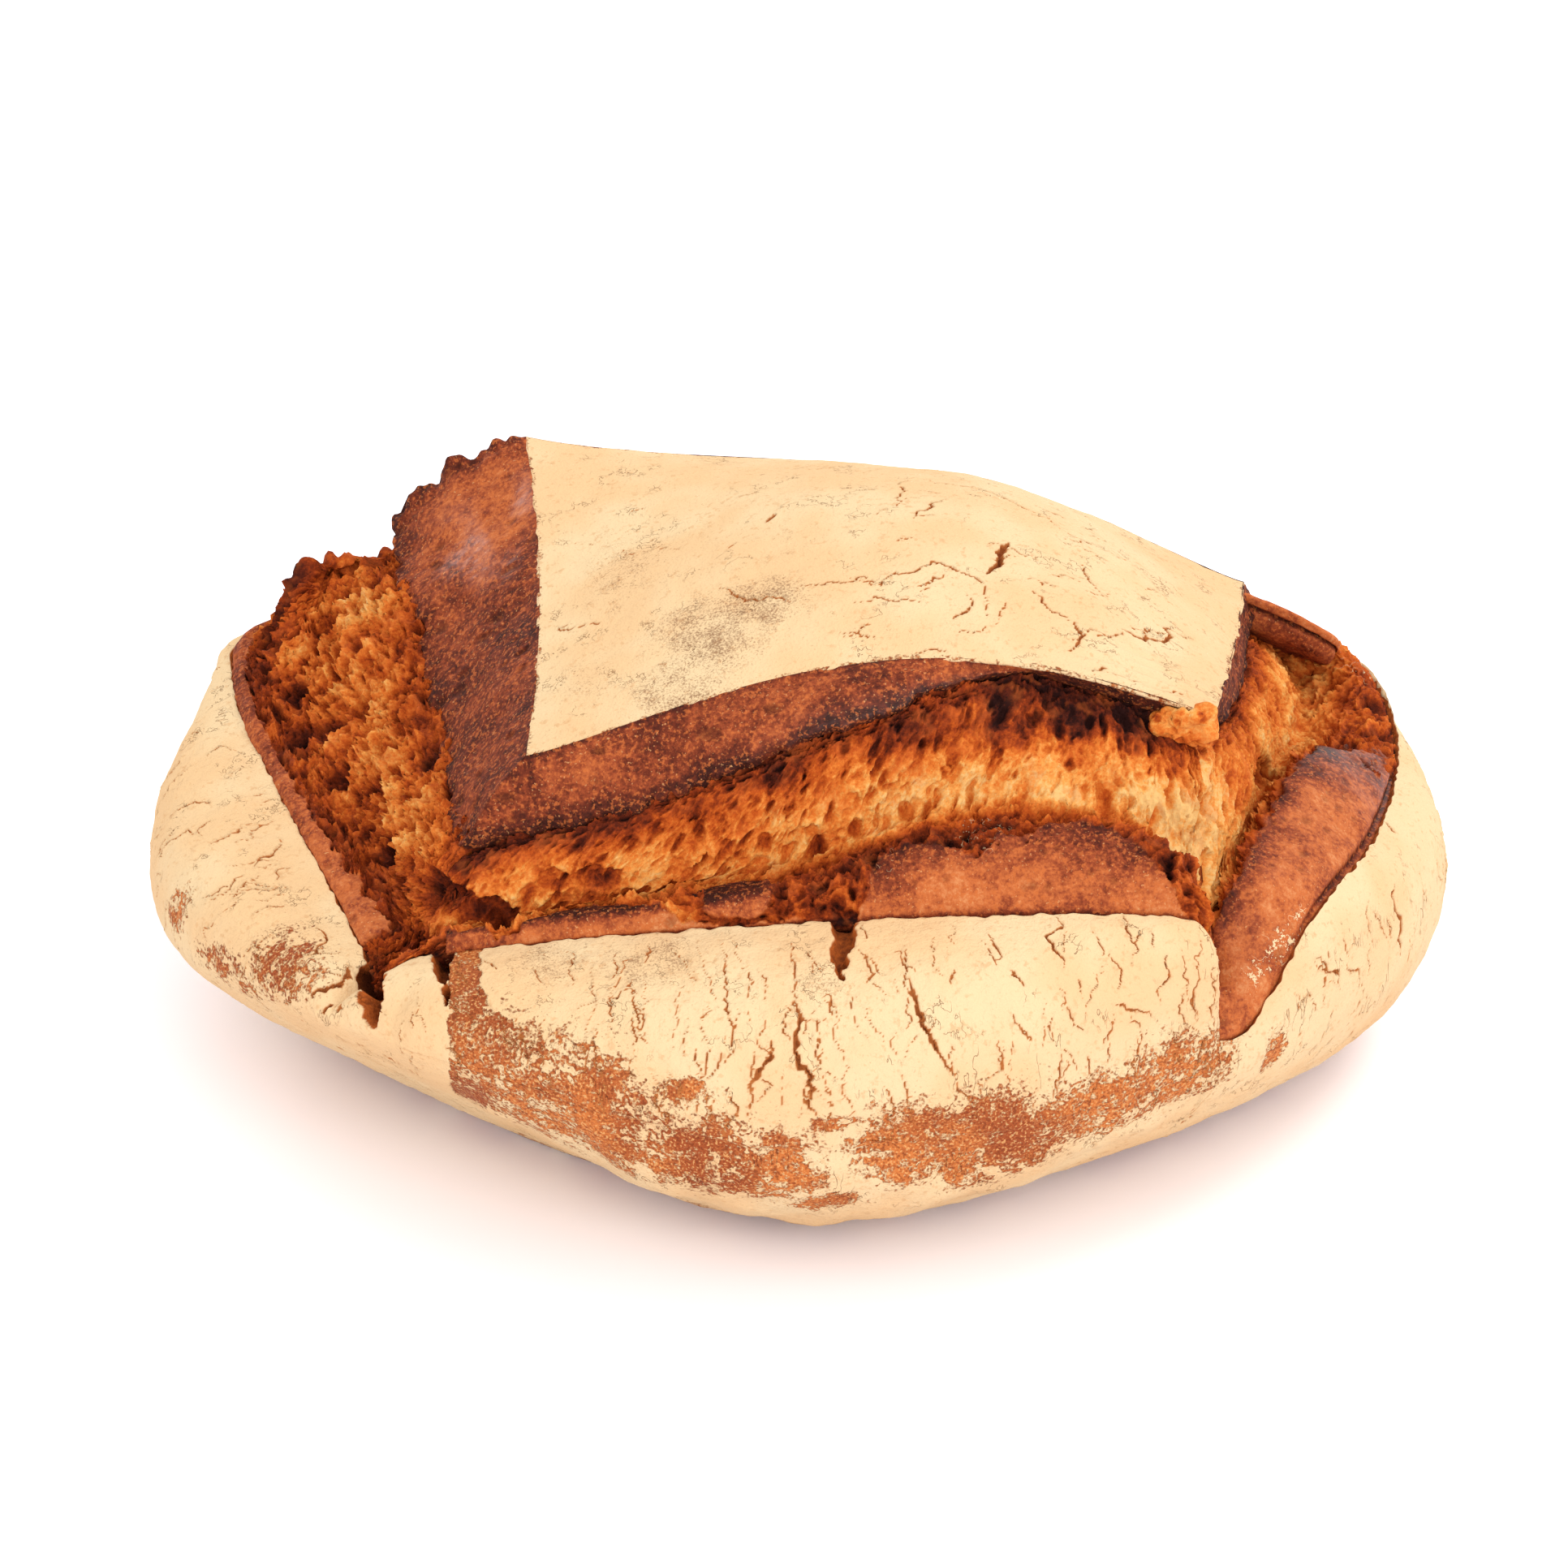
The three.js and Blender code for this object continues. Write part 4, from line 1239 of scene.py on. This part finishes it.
# crumb by how far it is baked, and browned skin
CRUMB_GLOW = tone(226, 112, 50)
CRUMB_STOPS = [
    (0.0, tone(255, 202, 128)),
    (0.14, tone(253, 172, 86)),
    (0.3, tone(238, 130, 50)),
    (0.46, tone(206, 92, 28)),
    (0.62, tone(156, 60, 20)),
    (0.8, tone(100, 36, 16)),
    (1.0, tone(46, 16, 12)),
]
SHELL_BEAD = tone(216, 116, 58)
SHELL_GLINT = tone(240, 176, 116)
SHELL_BURNT = tone(78, 32, 20)
SHELL_STOPS = [
    (0.0, tone(232, 150, 94)),
    (0.25, tone(212, 114, 60)),
    (0.5, tone(164, 76, 42)),
    (0.72, tone(116, 48, 28)),
    (0.88, tone(86, 36, 24)),
    (1.0, tone(58, 24, 17)),
]


def floured_crust():
    """Pale flour over brown crust: worn off in grainy patches, dusted grey, cracked."""
    finish = Finish("floured_crust")
    grain = finish.noise(0.6, 1, 0.5)
    grits = finish.noise(1.5, 2, 0.6, shift=0.1)
    flakes = finish.noise(5.5, 3, 0.62)
    wander = finish.noise(26, 2)
    flour = finish.mark("flour")
    wear = 1.2 - flour * 0.62
    plates = abs(finish.noise(5, 2, 0.6, shift=0.7) - 0.5)
    cover = flour + ((grits - 0.5) * 1.3 + (flakes - 0.5) * 2.0) * wear
    cover = cover - (1 - plates.ease(0.01, 0.05)) * (1 - flour) * 0.8
    thin = (cover + (grain - 0.5) * 0.8).ease(0.1, 0.7)
    cover = (cover + (grain - 0.5) * 1.1 * wear).ease(0.3, 0.66)
    crease = finish.noise(2.2, 3, 0.6, (0.7, 0.7, 1.8), 0.9)
    crack = finish.mark("crack")
    vein = abs(finish.noise(7, 3, 0.65, (0.55, 0.55, 2.6)) - 0.5)
    vein = (1 - vein.ease(0.0, 0.012)) * finish.noise(9, 2, 0.5, shift=0.3).ease(0.56, 0.66)
    dust_grain = finish.noise(0.5, 2, 0.7, shift=0.2)
    dusted = (finish.mark("grey") + (dust_grain - 0.5) * 2.0 + (flakes - 0.5) * 1.1).ease(0.5, 1.15)
    speckle = finish.noise(1.1, 2, 0.6, shift=0.5).ease(0.68, 0.76)
    crust = finish.mix(wander.ease(0.35, 0.65), BARE_CRUST, BARE_DARK)
    crust = finish.mix(grits.ease(0.45, 0.62) * 0.6, crust, BARE_DARK)
    crust = finish.mix(thin * 0.55, crust, FLOUR_THIN)
    crust = finish.mix(grain.ease(0.45, 0.35) * 0.55, crust, BARE_PORE)
    crust = finish.mix(grain.ease(0.56, 0.66) * 0.7, crust, BARE_GRAIN)
    pale = finish.mix(wander.ease(0.36, 0.64) * 0.75, FLOUR, FLOUR_WARM)
    pale = finish.mix((grits * 0.7 + flakes * 0.3).ease(0.54, 0.68) * 0.45, pale, FLOUR_THIN)
    pale = finish.mix(speckle * 0.3, pale, FLOUR_DUSTED)
    pale = finish.mix(dusted * 0.8, pale, FLOUR_DUSTED)
    colour = finish.mix(cover, crust, pale)
    colour = finish.mix(vein * 0.4 * cover, colour, CRACK_THIN)
    split = finish.mix(crack, CRACK_THIN, CRACK_DEEP)
    colour = finish.mix(crack.ease(0.08, 0.4), colour, split)
    tear = finish.mark("tear")
    torn = finish.mix(tear + (grits - 0.5) * 1.6, TEAR_FACE, TEAR_FLOOR)
    colour = finish.mix(tear.ease(0.02, 0.12), colour, torn)
    height = cover * 0.45 + grain * 0.4 + flakes * 0.5 + crease * 0.7 - vein * 0.6
    normal = finish.bump(height, 0.55)
    return finish.shaded(colour, 0.95 - 0.3 * (1 - cover), normal, {"Specular IOR Level": 0.1})


def torn_crumb():
    """Torn crumb, honey to near black by how far it is baked, and browned skin with pale pores; painted shade
    and painted sheen come in with the baked colour, and pores and hollows are darkened as painted shade.
    """
    finish = Finish("torn_crumb")
    toast = finish.mark("toast")
    deep = finish.mark("deep")
    skin = finish.mark("skin")
    fine = finish.noise(0.8, 3, 0.7)
    mottle = finish.noise(2.6, 3, 0.65)
    patch = finish.noise(8, 2, 0.6, shift=0.2)
    # deep * 0.42 is painted shade: the crumb ramp goes darker in pores and hollows
    level = toast + (fine - 0.5) * 0.5 + (mottle - 0.5) * 0.5 + (patch - 0.5) * 0.3 + deep * 0.42
    crumb = finish.ramp(level, CRUMB_STOPS)
    glow = finish.noise(5.5, 2, 0.6, shift=0.4).ease(0.5, 0.66)
    crumb = finish.mix(glow * (1 - deep) * 0.3, crumb, CRUMB_GLOW)
    brown = toast + (mottle - 0.5) * 0.9 + (patch - 0.5) * 0.45 + (fine - 0.5) * 0.7
    shell = finish.ramp(brown, SHELL_STOPS)
    bead = finish.noise(1.0, 2, 0.6, shift=0.6)
    glint = finish.noise(0.6, 1, 0.5, shift=0.7)
    shell = finish.mix(bead.ease(0.52, 0.66) * (0.85 - toast * 0.3), shell, SHELL_BEAD)
    shell = finish.mix(glint.ease(0.68, 0.76) * 0.6, shell, SHELL_GLINT)
    shell = finish.mix(bead.ease(0.46, 0.3) * toast.ease(0.2, 0.8) * 0.6, shell, SHELL_BURNT)
    # painted shade: pores and blisters of the skin go towards the pore-shade colour
    shell = finish.mix(deep * 0.7, shell, PORE_SHADE)
    colour = finish.mix(skin, crumb, shell)
    fleck = finish.mark("fleck")
    web = abs(finish.noise(3.2, 2, 0.5, shift=0.8) - 0.5)
    web = (1 - web.ease(0.004, 0.012)) * fleck.ease(0.15, 0.4) * finish.noise(3, 1, shift=1.1).ease(0.45, 0.6)
    flour = (fleck * 0.62 + (fine - 0.5) * 1.4 + (mottle - 0.5) * 0.9).ease(0.5, 0.62).top(web * 0.8)
    colour = finish.mix(flour, colour, FLOUR)
    height = fine * 0.7 + mottle * 0.6 + bead * skin * 0.6
    normal = finish.bump(height * (1 - 0.4 * skin), 0.5)
    others = {
        "Specular IOR Level": 0.1,
        "Coat Roughness": 0.35,
        "Coat IOR": 1.45,
        "Coat Weight": skin * (1 - flour) * (0.03 + finish.mark("gloss") * 0.6),
    }
    return finish.shaded(colour, 0.85, normal, others)


# ---- Making ----
# name, range of t, columns, rows of the underside and of the wall, cracks, strewn cracks, salt
WALLS = [
    ("wall_front", (0.095, 0.99999), 470, (50, 138), FRONT_CRACKS, 170, 7),
    ("wall_right", (1.0, 1.99999), 380, (46, 120), RIGHT_CRACKS, 50, 8),
    ("wall_back", (2.0, 2.99999), 300, (44, 90), [], 60, 9),
    ("wall_left", (3.0, 4.095), 420, (46, 130), LEFT_CRACKS, 60, 10),
]
# name, range of t, columns
SLASHES = [
    ("torn_front", (0.0, 1.012), 545),
    ("torn_right", (0.988, 1.99999), 425),
    ("torn_back", (2.0, 2.99999), 330),
    ("torn_left", (3.0, 3.99999), 400),
]
flour_finish = floured_crust()
crumb_finish = torn_crumb()
floured = [wall_piece(*wall) for wall in WALLS] + [lid_piece()]
torn = [torn_piece(*slash) for slash in SLASHES] + [flank_piece(), tab_piece(), bar_piece()]
for pieces, finish in ((floured, flour_finish), (torn, crumb_finish)):
    for piece in pieces:
        piece.data.materials.append(finish)
        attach(piece, "root")
        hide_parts("loaf")


# ---- Floor, light and camera, in metres ----
FLOOR_HALF = 6.0
FLOOR_TINTS = (0.92, 0.885, 0.925), (0.93, 0.895, 0.935)
ROOM_LIGHT = 1.36
# name, place, target, diameter, watts, colour
LAMPS = [
    ("key", (0.7, 0.3, 1.0), (0, 0, 0.06), 0.55, 4.8, (1, 0.99, 0.97)),
    ("fill", (0.5, -1.1, 0.65), (0, 0, 0.06), 0.9, 6.3, (1, 0.99, 0.97)),
    ("low_fill", (-0.6, -1.0, 0.2), (-0.03, 0, 0.04), 0.7, 2.4, (1, 0.985, 0.96)),
    ("sheen", (-0.7, 1.1, 0.45), (-0.06, 0, 0.08), 0.45, 2.2, (1, 1, 1)),
]
CAMERA_ELEVATION = math.radians(30)
CAMERA_DISTANCE = 1250 * MM
CAMERA_TARGET = (-3 * MM, 0.0, 61 * MM)
FRAME_WIDTH = 351.4 * MM  # width in view at the target
SENSOR_MM = 36


def pale_floor():
    """A flat square under the loaf, 12 m wide, that isn't part of it."""
    mesh = bpy.data.meshes.new("floor")
    corners = [(x * FLOOR_HALF, y * FLOOR_HALF, 0) for x, y in ((-1, -1), (1, -1), (1, 1), (-1, 1))]
    mesh.from_pydata(corners, [], [(0, 1, 2, 3)])
    floor = bpy.data.objects.new("floor", mesh)
    bpy.context.scene.collection.objects.link(floor)
    finish = Finish("pale_floor")
    tint = finish.mix(finish.noise(400, 1), *FLOOR_TINTS)
    mesh.materials.append(finish.closed(finish.node("ShaderNodeBsdfDiffuse", None, {"Color": tint}, "BSDF")))


def area_light(name, place, target, size, watts, colour):
    """A round lamp at a place, turned to its target."""
    data = bpy.data.lights.new(name, "AREA")
    data.shape = "DISK"
    data.size = size
    data.energy = watts
    data.color = colour
    lamp = bpy.data.objects.new(name, data)
    lamp.location = place
    lamp.rotation_euler = (Vector(target) - Vector(place)).to_track_quat("-Z", "Y").to_euler()
    bpy.context.scene.collection.objects.link(lamp)


def studio():
    """Soft light from the room, a lamp behind on the right, and weaker ones in front and on the left."""
    world = bpy.data.worlds.new("studio")
    world.use_nodes = True
    background = world.node_tree.nodes["Background"]
    background.inputs["Color"].default_value = (1.0, 1.0, 1.0, 1)
    background.inputs["Strength"].default_value = ROOM_LIGHT
    bpy.context.scene.world = world
    for lamp in LAMPS:
        area_light(*lamp)


def camera():
    """Camera in front of the loaf, above the table, turned to a point over the base."""
    data = bpy.data.cameras.new("camera")
    data.sensor_width = SENSOR_MM
    data.lens = SENSOR_MM * CAMERA_DISTANCE / FRAME_WIDTH
    eye = bpy.data.objects.new("camera", data)
    x, y, z = CAMERA_TARGET
    back = CAMERA_DISTANCE * math.cos(CAMERA_ELEVATION)
    eye.location = (x, y - back, z + CAMERA_DISTANCE * math.sin(CAMERA_ELEVATION))
    eye.rotation_euler = (PI / 2 - CAMERA_ELEVATION, 0, 0)
    bpy.context.scene.collection.objects.link(eye)
    bpy.context.scene.camera = eye


pale_floor()
studio()
camera()
bpy.context.scene.view_settings.view_transform = "Standard"
